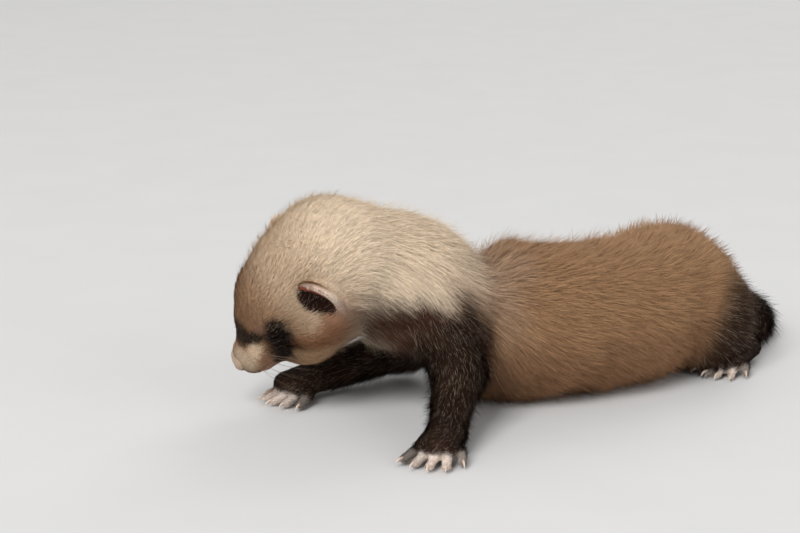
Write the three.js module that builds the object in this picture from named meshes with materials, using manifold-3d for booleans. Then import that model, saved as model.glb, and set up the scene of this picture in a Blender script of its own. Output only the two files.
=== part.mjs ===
// A sleeping ferret kit, about five weeks old and life size, as a still model for a museum.
// It lies on its belly with its neck arched and its chin over its own right forepaw.
// The left foreleg reaches down beside it, and the back curls round to the tucked tail.
// Units are millimetres. +Z is up, the head points to -X and the left side of the chest to -Y.
// Every surface is where the tips of the coat lie, so the coat's depth is inside the solids.
import * as THREE from "three";
import { mergeVertices } from "three/addons/utils/BufferGeometryUtils.js";
import Module from "manifold-3d";

const wasm = await Module();
wasm.setup();

const V = (x, y, z) => new THREE.Vector3(x, y, z);
const UP = V(0, 0, 1);
const DEGREE = Math.PI / 180;
const FAR = 400; // longer than the whole model, for the blocks that cut it
const GAP = 0.3; // between two nodes that touch

// Head, in its own frame: x runs from the back of the skull to the nose, y to the left, z to the crown
const HEAD_LENGTH = 47;
const NOSE_TIP = V(-48.5, -10, 15); // where the nose is in the model
const HEAD_PITCH = 48 * DEGREE; // nose down
const HEAD_ROLL = 27 * DEGREE; // crown towards the left side
const HEAD_YAW = 5 * DEGREE; // nose away from the left side
const EYE = V(28, 9.6, 4.2);
const EAR_ROOT = V(11.2, 17.2, 3.2);
const EAR = { wide: 7.4, tall: 5.6, deep: 4.1, wall: 1.9 };
// The way each ear stands off the head, the way that its bowl opens and how far its tip slants to the front over
// its height, for a left ear; the right one lies flat
const EAR_WAYS = {
  left: { out: V(-0.82, 0.55, 0.2), opening: V(0.42, 0.85, -0.1), slant: 0.5 },
  right: { out: V(-0.93, 0.3, -0.2), opening: V(0.3, 0.92, -0.2), slant: 0 },
};

// Trunk: centre of each section from the nape to the root of the tail, half its width and half its height
const SPINE = [
  { name: "nape", at: V(-14, -9, 44.2), wide: 19.6, high: 20 },
  { name: "neck", at: V(2, -5, 39.8), wide: 20.5, high: 20 },
  { name: "withers", at: V(16, -1, 29), wide: 22, high: 18.8 },
  { name: "chest", at: V(31, 4, 24.2), wide: 24, high: 25 },
  { name: "ribs", at: V(50, 11, 23), wide: 24.5, high: 24.2 },
  { name: "loin", at: V(69, 23, 22.2), wide: 24, high: 23.4 },
  { name: "hips", at: V(84, 42, 21.8), wide: 24.5, high: 23 },
  { name: "rump", at: V(90, 60, 19), wide: 20, high: 19.8 },
  { name: "tail_root", at: V(91, 77, 13.5), wide: 10.5, high: 10.5 },
];

const TAIL = [
  { at: V(91, 66, 17), round: 12 },
  { at: V(92, 78, 12), round: 9.6 },
  { at: V(99, 90, 8), round: 8.2 },
  { at: V(110, 92, 7), round: 7.3 },
  { at: V(119, 83, 6.3), round: 6.6 },
  { at: V(120.5, 69, 5.6), round: 5.9 },
  { at: V(115, 57, 4.6), round: 4.8 },
  { at: V(108, 50, 3), round: 2.4 },
];

const FORELEGS = {
  left: {
    shoulder: V(13, -13, 28),
    elbow: V(17, -30, 18),
    wrist: V(13.5, -52, 6.6),
    knuckles: V(10.5, -61, 5),
    palmHigh: 4.4,
  },
  right: {
    shoulder: V(14, 13, 23),
    elbow: V(2, 21, 11),
    wrist: V(-24, 5, 6.4),
    knuckles: V(-33, -3, 5.2),
    palmHigh: 5,
  },
};
const FORELEG = { shoulder: 12.5, elbow: 7.6, wrist: 5.4, palmWide: 6.9, toe: 2.1, toeLength: 9 };
const HINDLEG = { foot: 25, footWide: 5.4, footHigh: 4.8, heelWide: 4.7, toe: 2, toeLength: 8.4, out: 25, back: 4 };
const THIGH = { out: 19.5, up: 16, long: 19, wide: 11.5, high: 16 };
const TOE_FAN = 0.22; // angle between neighbouring toes, in radians
const TOE_SPACING = 0.44; // between their roots, over half the palm's width
const CLAW = { length: 3.6, root: 0.85, tip: 0.16 };

// Fields: each takes a point and gives about how far outside the form it lies, and less than 0 inside

function egg(centre, radii, turn = new THREE.Quaternion()) {
  const back = turn.clone().invert();
  const q = V(0, 0, 0);
  return (p) => {
    q.copy(p).sub(centre).applyQuaternion(back).divide(radii);
    const reach = q.length();
    const slope = q.divide(radii).length();
    return slope < 1e-6 ? -Math.min(radii.x, radii.y, radii.z) : (reach * (reach - 1)) / slope;
  };
}

// A limb that tapers evenly between two balls
function limb(a, b, radiusA, radiusB) {
  const axis = b.clone().sub(a);
  const length2 = axis.lengthSq();
  const q = V(0, 0, 0);
  return (p) => {
    const along = THREE.MathUtils.clamp(q.copy(p).sub(a).dot(axis) / length2, 0, 1);
    return q.addScaledVector(axis, -along).length() - THREE.MathUtils.lerp(radiusA, radiusB, along);
  };
}

// A tube of oval sections on one smooth line, with round ends; up is what high is measured along
function tube(stations, up = UP, samples = 8) {
  const line = new THREE.CatmullRomCurve3(stations.map((s) => s.at));
  const sizes = new THREE.CatmullRomCurve3(stations.map((s) => V(s.wide, s.high, 0)));
  const count = (stations.length - 1) * samples;
  const rows = Array.from({ length: count + 1 }, (_, i) => {
    const along = line.getTangent(i / count);
    const side = up.clone().cross(along).normalize();
    const top = along.clone().cross(side);
    return { at: line.getPoint(i / count), size: sizes.getPoint(i / count), along, side, top };
  });
  const q = V(0, 0, 0);
  const step = V(0, 0, 0);
  return (p) => {
    let nearest = Infinity;
    let row = 0;
    let share = 0;
    for (let i = 0; i < count; i++) {
      step.copy(rows[i + 1].at).sub(rows[i].at);
      const t = THREE.MathUtils.clamp(q.copy(p).sub(rows[i].at).dot(step) / step.lengthSq(), 0, 1);
      const distance = q.addScaledVector(step, -t).lengthSq();
      if (distance < nearest) [nearest, row, share] = [distance, i, t];
    }
    const [a, b] = [rows[row], rows[row + 1]];
    q.copy(p).sub(a.at).addScaledVector(step.copy(b.at).sub(a.at), -share);
    const wide = THREE.MathUtils.lerp(a.size.x, b.size.x, share);
    const high = THREE.MathUtils.lerp(a.size.y, b.size.y, share);
    const cap = Math.min(wide, high);
    const dot = (way) => THREE.MathUtils.lerp(q.dot(a[way]), q.dot(b[way]), share);
    const [x, y, z] = [dot("side") / wide, dot("top") / high, dot("along") / cap];
    const reach = Math.hypot(x, y, z);
    const slope = Math.hypot(x / wide, y / high, z / cap);
    return slope < 1e-6 ? -cap : (reach * (reach - 1)) / slope;
  };
}

// Joins fields with a fillet of about the given reach
function blend(reach, ...fields) {
  return (p) => {
    let joined = fields[0](p);
    for (let i = 1; i < fields.length; i++) {
      const next = fields[i](p);
      const close = Math.max(reach - Math.abs(joined - next), 0) / reach;
      joined = Math.min(joined, next) - (close * close * reach) / 4;
    }
    return joined;
  };
}

// Takes one field out of another, with a rounded edge
const carve = (reach, field, cutter) => {
  const kept = blend(reach, (p) => -field(p), cutter);
  return (p) => -kept(p);
};

const inFrame = (matrix, field) => {
  const back = matrix.clone().invert();
  const q = V(0, 0, 0);
  return (p) => field(q.copy(p).applyMatrix4(back));
};

// Meshes: {points, faces}, one closed surface each

// The six tetrahedra round a grid cell's main diagonal; a corner's bits are its x, y and z
const TETRAHEDRA = [
  [0, 1, 3, 7],
  [0, 1, 5, 7],
  [0, 2, 3, 7],
  [0, 2, 6, 7],
  [0, 4, 5, 7],
  [0, 4, 6, 7],
];

// Marching tetrahedra over a box, closed by the box where the form goes on past it; each vertex is moved onto the field
function surface(form, box, step) {
  const middle = box.getCenter(V(0, 0, 0));
  const half = box.getSize(V(0, 0, 0)).multiplyScalar(0.5).subScalar(step);
  const inBox = (p) =>
    Math.max(Math.abs(p.x - middle.x) - half.x, Math.abs(p.y - middle.y) - half.y, Math.abs(p.z - middle.z) - half.z);
  const field = (p) => Math.max(form(p), inBox(p));
  const size = box.getSize(V(0, 0, 0)).divideScalar(step).ceil();
  const [nx, ny, nz] = [size.x + 1, size.y + 1, size.z + 1];
  const index = (i, j, k) => i + nx * (j + ny * k);
  const place = (n) =>
    V(n % nx, Math.floor(n / nx) % ny, Math.floor(n / (nx * ny))).multiplyScalar(step).add(box.min);
  const values = new Float64Array(nx * ny * nz);
  for (let n = 0; n < values.length; n++) values[n] = field(place(n));
  const points = [];
  const faces = [];
  const crossings = new Map();
  const crossing = (inside, outside) => {
    const key = inside < outside ? inside * values.length + outside : outside * values.length + inside;
    if (!crossings.has(key)) {
      const t = THREE.MathUtils.clamp(values[inside] / (values[inside] - values[outside]), 0.1, 0.9);
      crossings.set(key, points.push(place(inside).lerp(place(outside), t)) - 1);
    }
    return crossings.get(key);
  };
  const away = V(0, 0, 0);
  const addFace = (a, b, c, insidePoint) => {
    const normal = points[b].clone().sub(points[a]).cross(away.copy(points[c]).sub(points[a]));
    const outward = normal.dot(away.copy(points[a]).sub(insidePoint)) > 0;
    faces.push(outward ? [a, b, c] : [a, c, b]);
  };
  for (let k = 0; k < nz - 1; k++)
    for (let j = 0; j < ny - 1; j++)
      for (let i = 0; i < nx - 1; i++)
        for (const tetrahedron of TETRAHEDRA) {
          const corners = tetrahedron.map((c) => index(i + (c & 1), j + ((c >> 1) & 1), k + (c >> 2)));
          const inside = corners.filter((n) => values[n] < 0);
          const outside = corners.filter((n) => values[n] >= 0);
          if (!inside.length || !outside.length) continue;
          const from = place(inside[0]);
          if (inside.length === 2) {
            const [a, b] = [crossing(inside[0], outside[0]), crossing(inside[0], outside[1])];
            const [c, d] = [crossing(inside[1], outside[1]), crossing(inside[1], outside[0])];
            addFace(a, b, c, from);
            addFace(a, c, d, from);
          } else {
            const ring = inside.flatMap((m) => outside.map((n) => crossing(m, n)));
            addFace(...ring, from);
          }
        }
  points.forEach((p) => settle(p, field));
  return { points, faces };
}

// Moves a point onto the surface along the field's slope
function settle(p, field) {
  const reach = 0.05;
  for (let pass = 0; pass < 3; pass++) {
    const here = field(p);
    const slope = V(
      field(p.clone().setX(p.x + reach)) - here,
      field(p.clone().setY(p.y + reach)) - here,
      field(p.clone().setZ(p.z + reach)) - here,
    ).divideScalar(reach);
    const steep = slope.lengthSq();
    if (steep > 1e-4) p.addScaledVector(slope, THREE.MathUtils.clamp(-here / steep, -0.4, 0.4));
  }
  return p;
}

// A quadric measures how far a point is from a set of planes, as ten numbers of a symmetric matrix
function quadricOf(normal, offset, weight) {
  const [a, b, c] = normal.toArray();
  const d = offset;
  return [a * a, a * b, a * c, a * d, b * b, b * c, b * d, c * c, c * d, d * d].map((v) => v * weight);
}

function quadricError(q, p) {
  const [x, y, z] = [p.x, p.y, p.z];
  const squares = q[0] * x * x + q[4] * y * y + q[7] * z * z + q[9];
  return squares + 2 * (q[1] * x * y + q[2] * x * z + q[3] * x + q[5] * y * z + q[6] * y + q[8] * z);
}

// Collapses the edges that matter least until about the wanted number of faces is left
function thinned(mesh, wanted) {
  const LENGTH_WEIGHT = 0.004; // keeps the faces of flat stretches even
  const { points } = mesh;
  const faces = mesh.faces.map((f) => [...f]);
  const around = points.map(() => new Set());
  const quadrics = points.map(() => new Array(10).fill(0));
  faces.forEach((face, f) => {
    const [a, b, c] = face.map((v) => points[v]);
    const normal = b.clone().sub(a).cross(c.clone().sub(a));
    const area = normal.length() / 2;
    if (area > 0) normal.normalize();
    const quadric = quadricOf(normal, -normal.dot(a), area);
    for (const v of face) {
      around[v].add(f);
      quadrics[v] = quadrics[v].map((q, i) => q + quadric[i]);
    }
  });
  const version = new Int32Array(points.length);
  const heap = [];
  const swap = (i, j) => ([heap[i], heap[j]] = [heap[j], heap[i]]);
  const push = (entry) => {
    let i = heap.push(entry) - 1;
    for (let up = (i - 1) >> 1; i > 0 && heap[i].cost < heap[up].cost; up = (i - 1) >> 1) {
      swap(i, up);
      i = up;
    }
  };
  const pop = () => {
    const top = heap[0];
    const last = heap.pop();
    if (!heap.length) return top;
    heap[0] = last;
    for (let i = 0, low = 1; low < heap.length; low = 2 * i + 1) {
      if (low + 1 < heap.length && heap[low + 1].cost < heap[low].cost) low++;
      if (heap[i].cost <= heap[low].cost) break;
      swap(i, low);
      i = low;
    }
    return top;
  };
  const neighbours = (v) => {
    const found = new Set();
    for (const f of around[v]) for (const w of faces[f]) if (w !== v) found.add(w);
    return found;
  };
  const offer = (a, b) => {
    const quadric = quadrics[a].map((q, i) => q + quadrics[b][i]);
    const length2 = points[a].distanceToSquared(points[b]);
    let best = null;
    for (const t of [0.5, 0, 1, 0.25, 0.75]) {
      const at = points[a].clone().lerp(points[b], t);
      const cost = quadricError(quadric, at) + LENGTH_WEIGHT * length2;
      if (!best || cost < best.cost) best = { cost, at };
    }
    push({ ...best, a, b, ages: version[a] + version[b], quadric });
  };
  const turnsOver = (v, other, at) => {
    for (const f of around[v]) {
      if (faces[f].includes(other)) continue;
      const before = faces[f].map((w) => points[w]);
      const after = faces[f].map((w) => (w === v ? at : points[w]));
      const [n0, n1] = [before, after].map(([a, b, c]) => b.clone().sub(a).cross(c.clone().sub(a)));
      if (n0.dot(n1) <= 0.3 * n0.length() * n1.length()) return true;
    }
    return false;
  };
  faces.forEach(([a, b, c]) => {
    for (const [v, w] of [[a, b], [b, c], [c, a]]) if (v < w) offer(v, w);
  });
  let left = faces.length;
  while (left > wanted && heap.length) {
    const { a, b, at, ages, quadric } = pop();
    if (!around[a].size || !around[b].size || version[a] + version[b] !== ages) continue;
    const nextToA = neighbours(a);
    if (!nextToA.has(b)) continue;
    const shared = [...neighbours(b)].filter((v) => nextToA.has(v)).length;
    if (shared !== 2 || turnsOver(a, b, at) || turnsOver(b, a, at)) continue;
    points[a].copy(at);
    quadrics[a] = quadric;
    for (const f of [...around[b]]) {
      if (faces[f].includes(a)) {
        faces[f].forEach((v) => around[v].delete(f));
        faces[f] = null;
        left--;
      } else {
        faces[f] = faces[f].map((v) => (v === b ? a : v));
        around[a].add(f);
      }
    }
    around[b].clear();
    version[a]++;
    for (const v of neighbours(a)) offer(a, v);
  }
  return { points, faces: faces.filter((f) => f) };
}

// A row of rings, each a list of points the same way round, closed by flat ends
function rings(rows) {
  const points = rows.flat();
  const count = rows[0].length;
  const faces = [];
  for (let r = 0; r < rows.length - 1; r++)
    for (let s = 0; s < count; s++) {
      const [a, b] = [r * count + s, r * count + ((s + 1) % count)];
      faces.push([a, b, b + count], [a, b + count, a + count]);
    }
  const last = points.length - count;
  for (let s = 1; s < count - 1; s++) {
    faces.push([0, s + 1, s]);
    faces.push([last, last + s, last + s + 1]);
  }
  return { points, faces };
}

// Round rings along a stretch of a line, from share a to share b of it
function hose(line, radiusAt, a, b, steps, sides) {
  const rows = [];
  for (let i = 0; i <= steps; i++) {
    const t = THREE.MathUtils.lerp(a, b, i / steps);
    const along = line.getTangent(t);
    const side = (Math.abs(along.z) < 0.9 ? UP : V(1, 0, 0)).clone().cross(along).normalize();
    const top = along.clone().cross(side);
    const at = line.getPoint(t);
    rows.push(
      Array.from({ length: sides }, (_, s) => {
        const turn = (2 * Math.PI * s) / sides;
        return at
          .clone()
          .addScaledVector(side, radiusAt(t) * Math.cos(turn))
          .addScaledVector(top, radiusAt(t) * Math.sin(turn));
      }),
    );
  }
  return rings(rows);
}

// Solids: joins and cuts

function solidOf({ points, faces }) {
  return new wasm.Manifold(
    new wasm.Mesh({
      numProp: 3,
      vertProperties: new Float32Array(points.flatMap((p) => p.toArray())),
      triVerts: new Uint32Array(faces.flat()),
    }),
  );
}

function meshOf(solid) {
  const { vertProperties, triVerts } = solid.getMesh();
  const points = [];
  for (let i = 0; i < vertProperties.length; i += 3) points.push(V(...vertProperties.slice(i, i + 3)));
  const faces = [];
  for (let i = 0; i < triVerts.length; i += 3) faces.push([...triVerts.slice(i, i + 3)]);
  return { points, faces };
}

const geometrySolid = (geometry) => {
  const bare = new THREE.BufferGeometry().setAttribute("position", geometry.getAttribute("position"));
  const merged = mergeVertices(geometry.index ? bare.setIndex(geometry.index) : bare, 1e-4);
  return new wasm.Manifold(
    new wasm.Mesh({
      numProp: 3,
      vertProperties: merged.attributes.position.array,
      triVerts: new Uint32Array(merged.index.array),
    }),
  );
};

// All of space on one side of a plane, as a block whose face is half a gap past it
function beyond(point, normal) {
  const way = normal.clone().normalize();
  const turn = new THREE.Quaternion().setFromUnitVectors(UP, way);
  const middle = point.clone().addScaledVector(way, FAR / 2 + GAP / 2);
  const block = new THREE.BoxGeometry(FAR, FAR, FAR).applyQuaternion(turn).translate(...middle.toArray());
  return geometrySolid(block);
}

const aboveFloor = geometrySolid(new THREE.BoxGeometry(FAR, FAR, FAR).translate(0, 0, FAR / 2));

const largest = (solid) => solid.decompose().sort((a, b) => b.volume() - a.volume())[0];

// The same solid a gap larger all round, to cut a neighbour clear of it
function grown(solid) {
  const { points, faces } = meshOf(solid);
  const normals = points.map(() => V(0, 0, 0));
  for (const face of faces) {
    const [a, b, c] = face.map((v) => points[v]);
    const normal = b.clone().sub(a).cross(c.clone().sub(a)).normalize();
    face.forEach((v) => normals[v].add(normal));
  }
  const GROW = GAP * 1.25; // the corners of a mesh grow by less than its faces
  return solidOf({ points: points.map((p, i) => p.addScaledVector(normals[i].normalize(), GROW)), faces });
}

const boxRound = (low, high) => new THREE.Box3(V(...low), V(...high));

// Head

function headFrame() {
  const [forward, left] = [V(-1, 0, 0), V(0, -1, 0)];
  const f = forward.clone().multiplyScalar(Math.cos(HEAD_PITCH)).addScaledVector(UP, -Math.sin(HEAD_PITCH));
  f.normalize();
  const crown = UP.clone().multiplyScalar(Math.cos(HEAD_PITCH));
  crown.addScaledVector(forward, Math.sin(HEAD_PITCH)).normalize();
  const rolledCrown = crown.clone().multiplyScalar(Math.cos(HEAD_ROLL)).addScaledVector(left, Math.sin(HEAD_ROLL));
  const rolledLeft = left.clone().multiplyScalar(Math.cos(HEAD_ROLL)).addScaledVector(crown, -Math.sin(HEAD_ROLL));
  const turn = new THREE.Matrix4().makeRotationZ(-HEAD_YAW);
  const frame = new THREE.Matrix4().makeBasis(f, rolledLeft, rolledCrown).premultiply(turn);
  const nose = V(HEAD_LENGTH, 0, -2).applyMatrix4(frame);
  return frame.setPosition(NOSE_TIP.clone().sub(nose));
}
const HEAD = headFrame();
const toHead = (x, y, z) => V(x, y, z).applyMatrix4(HEAD);
const headWay = (x, y, z) => V(x, y, z).transformDirection(HEAD);
const bothSides = (make) => [1, -1].map(make);

// Sections of the skull and muzzle from the back to the front
const skull = tube([
  { at: V(5, 0, 0.2), wide: 18.4, high: 17.8 },
  { at: V(15, 0, 1), wide: 18.3, high: 17.8 },
  { at: V(24, 0, 1.2), wide: 15.6, high: 15.8 },
  { at: V(31, 0, -0.2), wide: 11.8, high: 12.2 },
  { at: V(37, 0, -1.8), wide: 8.4, high: 8.6 },
  { at: V(42, 0, -2.6), wide: 6.1, high: 5.8 },
]);
const headForm = blend(
  4,
  skull,
  ...bothSides((s) => egg(V(17, 11 * s, -5.5), V(12, 9, 9))), // cheeks
  ...bothSides((s) => egg(V(40.5, 3.5 * s, -3.9), V(5.4, 3.7, 3.5))), // whisker pads
  egg(V(37.5, 0, -8.2), V(7.2, 4.7, 2.9)), // chin
  egg(V(21.5, 0, -12.8), V(16.5, 12, 9.8)), // jaw and throat
  ...bothSides((s) => egg(V(EYE.x, EYE.y * s, EYE.z), V(4.3, 3.4, 3.2))), // closed lids
);

// A line of points in the head's frame, each moved onto the head's own surface
const onHead = (points) => points.map((p) => settle(settle(V(...p), headForm), headForm).applyMatrix4(HEAD));

function groove(points, radius, steps = 16) {
  const line = new THREE.CatmullRomCurve3(onHead(points));
  return solidOf(hose(line, () => radius, 0, 1, steps, 6));
}

const mouthSide = [
  [43.5, 3.6, -7],
  [40, 6, -7.2],
  [36, 7.8, -7.6],
  [32.5, 9.6, -7.4],
];
const mouthLine = [
  ...mouthSide.map(([x, y, z]) => [x, -y, z]).reverse(),
  [45.5, 0, -6.4],
  ...mouthSide,
];
const lidLine = (s) => [
  [EYE.x + 3.4, (EYE.y - 2.2) * s, EYE.z - 0.6],
  [EYE.x + 1.2, (EYE.y + 1.4) * s, EYE.z - 1.8],
  [EYE.x - 1.4, (EYE.y + 2.6) * s, EYE.z - 1.8],
  [EYE.x - 3.6, (EYE.y + 2.2) * s, EYE.z - 0.4],
];

const THROAT = { at: V(-2, -8, 27), size: V(14, 13, 8) };
const trunkField = blend(6, tube(SPINE), egg(THROAT.at, THROAT.size));
const station = (name) => SPINE.find((s) => s.name === name).at;
const headBox = boxRound([-66, -48, -2], [16, 34, 78]);
const bodyField = blend(7.5, inFrame(HEAD, headForm), trunkField);
const napeCut = [station("nape").clone().add(V(-1, 0, 0)), V(-0.94, 0, -0.34)];

// Ear: x runs along its root, y from the root to the tip, z out of the back of its bowl
const EAR_CANAL = { size: V(4.2, 3.8, 3.6), at: V(0, 1.6, -1.4) };

function earFrame(side) {
  const ways = side > 0 ? EAR_WAYS.left : EAR_WAYS.right;
  const out = ways.out.clone().normalize();
  const back = ways.opening.clone().projectOnPlane(out).normalize().negate();
  const base = out.clone().cross(back);
  const mirror = new THREE.Matrix4().makeScale(1, side, 1);
  const slanted = out.clone().addScaledVector(base, ways.slant);
  const frame = new THREE.Matrix4().makeBasis(base, slanted, back).setPosition(EAR_ROOT);
  const flip = new THREE.Matrix4().makeScale(side, 1, 1); // keeps the mirrored frame a right-handed one
  return HEAD.clone().multiply(mirror).multiply(frame).multiply(flip);
}

function makeHead() {
  const whole = solidOf(thinned(surface(bodyField, headBox, 1.5), 3300));
  let head = whole.intersect(beyond(...napeCut));
  head = head.subtract(groove(mouthLine, 0.55, 34));
  for (const s of [1, -1]) {
    head = head.subtract(groove(lidLine(s), 0.45, 9));
    const canal = new THREE.SphereGeometry(1, 12, 8).scale(...EAR_CANAL.size.toArray());
    head = head.subtract(geometrySolid(canal.translate(...EAR_CANAL.at.toArray()).applyMatrix4(earFrame(s))));
  }
  return largest(head);
}

const nosePad = { at: V(45.6, 0, -1.9), size: V(2.9, 4.1, 3.2), nostril: 0.85 };

function makeNose(head) {
  const form = blend(
    1.2,
    egg(nosePad.at, nosePad.size),
    ...bothSides((s) => egg(V(46, 2.6 * s, -1.6), V(2.2, 1.7, 2))), // the wings beside the nostrils
  );
  const box = boxRound([-56, -18, 6], [-40, -2, 24]);
  let nose = solidOf(thinned(surface(inFrame(HEAD, form), box, 0.55), 420));
  for (const s of [1, -1]) {
    const line = new THREE.CatmullRomCurve3([toHead(46.6, 1.5 * s, -2), toHead(49.5, 2.1 * s, -2.1)]);
    nose = nose.subtract(solidOf(hose(line, () => nosePad.nostril, 0, 1, 1, 8)));
    const slit = new THREE.CatmullRomCurve3([toHead(48.4, 2 * s, -2), toHead(45.6, 5.2 * s, -2.9)]);
    nose = nose.subtract(solidOf(hose(slit, () => nosePad.nostril * 0.5, 0, 1, 2, 6)));
  }
  return largest(nose.subtract(grown(head)));
}

// A bowl that opens forwards, outwards and down, with its root sunk in the side of the head
function makeEar(side, head) {
  const outer = egg(V(0, 0, 0), V(EAR.wide, EAR.tall, EAR.deep));
  const inner = egg(V(0, 0, -0.6), V(EAR.wide - EAR.wall, EAR.tall - EAR.wall, EAR.deep - EAR.wall * 0.7));
  const bowl = carve(0.6, carve(0.8, outer, inner), (p) => p.z + 1);
  const frame = earFrame(side);
  const centre = V(0, 0, 0).applyMatrix4(frame);
  const box = new THREE.Box3().setFromCenterAndSize(centre, V(1, 1, 1).multiplyScalar(2 * EAR.wide + 7));
  const ear = solidOf(thinned(surface(inFrame(frame, bowl), box, 0.75), 700));
  return largest(ear.subtract(grown(head)));
}

// Trunk

const tangent = (name) => {
  const i = SPINE.findIndex((s) => s.name === name);
  return SPINE[i + 1].at.clone().sub(SPINE[i - 1].at).normalize();
};
const middleOf = (a, b) => station(a).clone().lerp(station(b), 0.5);
const trunkCuts = {
  neck_chest: [station("withers").clone().add(V(-2, 0, 2)), V(0.86, 0.26, -0.43)],
  chest_loin: [station("ribs").clone(), tangent("ribs")],
  loin_rump: [middleOf("loin", "hips"), tangent("loin")],
  rump_tail: [station("tail_root").clone().add(V(0, -3, 1)), V(0.05, 0.9, -0.42)],
};
const reversed = ([point, normal]) => beyond(point, normal.clone().negate());
const trunkBox = boxRound([-42, -38, -6], [122, 100, 78]);

function makeTrunk() {
  const whole = solidOf(thinned(surface(bodyField, trunkBox, 3.2), 2500)).intersect(aboveFloor);
  const { neck_chest, chest_loin, loin_rump, rump_tail } = trunkCuts;
  const neck = whole.intersect(reversed(napeCut)).intersect(reversed(neck_chest));
  return {
    neck: largest(neck),
    chest: largest(whole.intersect(beyond(...neck_chest)).intersect(reversed(chest_loin))),
    loin: largest(whole.intersect(beyond(...chest_loin)).intersect(reversed(loin_rump))),
    rump: largest(whole.intersect(beyond(...loin_rump)).intersect(reversed(rump_tail))),
  };
}

function makeTail(part, parts, rump) {
  const line = new THREE.CatmullRomCurve3(TAIL.map((s) => s.at));
  const radii = new THREE.CatmullRomCurve3(TAIL.map((s) => V(s.round, 0, 0)));
  const SPARE = 0.03; // a length past each cut, which the cut takes off again
  const [a, b] = [part / parts, (part + 1) / parts];
  const [from, to] = [Math.max(a - SPARE, 0), Math.min(b + SPARE, 1)];
  let tail = solidOf(hose(line, (t) => radii.getPoint(t).x, from, to, 9, 16)).intersect(aboveFloor);
  if (from > 0) tail = tail.intersect(beyond(line.getPoint(a), line.getTangent(a)));
  if (to < 1) tail = tail.intersect(reversed([line.getPoint(b), line.getTangent(b)]));
  return largest(part ? tail : tail.subtract(grown(rump)));
}

// Legs

// A bent cone that hooks down, for each toe
function claw(root, way) {
  const tip = root.clone().addScaledVector(way, CLAW.length);
  tip.z = Math.max(tip.z - 0.8, 0.5);
  const middle = root.clone().lerp(tip, 0.55);
  middle.z += 0.5;
  const line = new THREE.CatmullRomCurve3([root.clone().addScaledVector(way, -1.5), middle, tip]);
  const radiusAt = (t) => THREE.MathUtils.lerp(CLAW.root, CLAW.tip, t * t);
  return solidOf(hose(line, radiusAt, 0, 1, 4, 6));
}

// Five toes fanned from the front of a palm. The inner toe, the first, is the shortest
function toes(knuckles, forward, side, { wide, toe, toeLength }) {
  const right = forward.clone().cross(UP).multiplyScalar(side);
  return [-2, -1, 0, 1, 2].map((n) => {
    const fan = n * TOE_FAN;
    const way = forward.clone().multiplyScalar(Math.cos(fan)).addScaledVector(right, Math.sin(fan));
    const inner = n === -2;
    const long = toeLength * (inner ? 0.62 : 1 - 0.05 * Math.abs(n));
    const root = knuckles.clone().addScaledVector(right, n * wide * TOE_SPACING);
    root.addScaledVector(forward, inner ? -2.6 : -0.45 * n * n).setZ(toe + 1.2);
    const tip = root.clone().addScaledVector(way, long - toe).setZ(toe - 0.35);
    return { root, tip, way, toe };
  });
}

function makePaw(heel, knuckles, high, size, side, cut, box, triangles) {
  const forward = knuckles.clone().sub(heel).setZ(0).normalize();
  const digits = toes(knuckles, forward, side, size);
  const palm = tube([
    { at: heel, wide: size.heelWide, high: size.heelHigh },
    { at: heel.clone().lerp(knuckles, 0.5), wide: (size.heelWide + size.wide) / 2, high: (size.heelHigh + high) / 2 },
    { at: knuckles, wide: size.wide, high },
  ]);
  const field = blend(1.1, palm, ...digits.map((d) => limb(d.root, d.tip, d.toe, d.toe * 0.92)));
  let paw = solidOf(thinned(surface(field, box, 0.85), triangles));
  if (cut) paw = paw.intersect(beyond(...cut));
  for (const d of digits) {
    const root = d.tip.clone().addScaledVector(d.way, d.toe * 0.35).setZ(d.tip.z + 0.3);
    paw = paw.add(claw(root, d.way));
  }
  return largest(paw.intersect(aboveFloor));
}

const around = (points, margin) => new THREE.Box3().setFromPoints(points).expandByScalar(margin);

function makeForeleg(name, { head, neck, chest, loin }) {
  const { shoulder, elbow, wrist, knuckles, palmHigh } = FORELEGS[name];
  const side = name === "left" ? 1 : -1;
  const arm = blend(
    4,
    limb(shoulder, elbow, FORELEG.shoulder, FORELEG.elbow),
    limb(elbow, wrist, FORELEG.elbow, FORELEG.wrist),
  );
  const whole = solidOf(thinned(surface(arm, around([shoulder, elbow, wrist], 15), 1.6), 700));
  const elbowWay = wrist.clone().sub(elbow).normalize();
  const elbowCut = [elbow.clone().addScaledVector(elbowWay, 1), elbowWay.clone().add(elbow.clone().sub(shoulder).normalize())];
  const wristCut = [wrist, knuckles.clone().sub(elbow)];
  const clear = (solid) => [head, neck, chest, loin].reduce((rest, other) => rest.subtract(other), solid);
  const forearm = clear(whole.intersect(beyond(...elbowCut)).intersect(reversed(wristCut)).intersect(aboveFloor));
  const upper = clear(whole.intersect(reversed(elbowCut)).intersect(aboveFloor));
  const size = { ...FORELEG, wide: FORELEG.palmWide, heelWide: FORELEG.wrist, heelHigh: FORELEG.wrist };
  const box = around([wrist, knuckles], 20);
  const paw = makePaw(wrist, knuckles, palmHigh, size, side, wristCut, box, 560);
  return { upper: largest(upper), forearm: largest(forearm), paw: largest(clear(paw)) };
}

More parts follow.
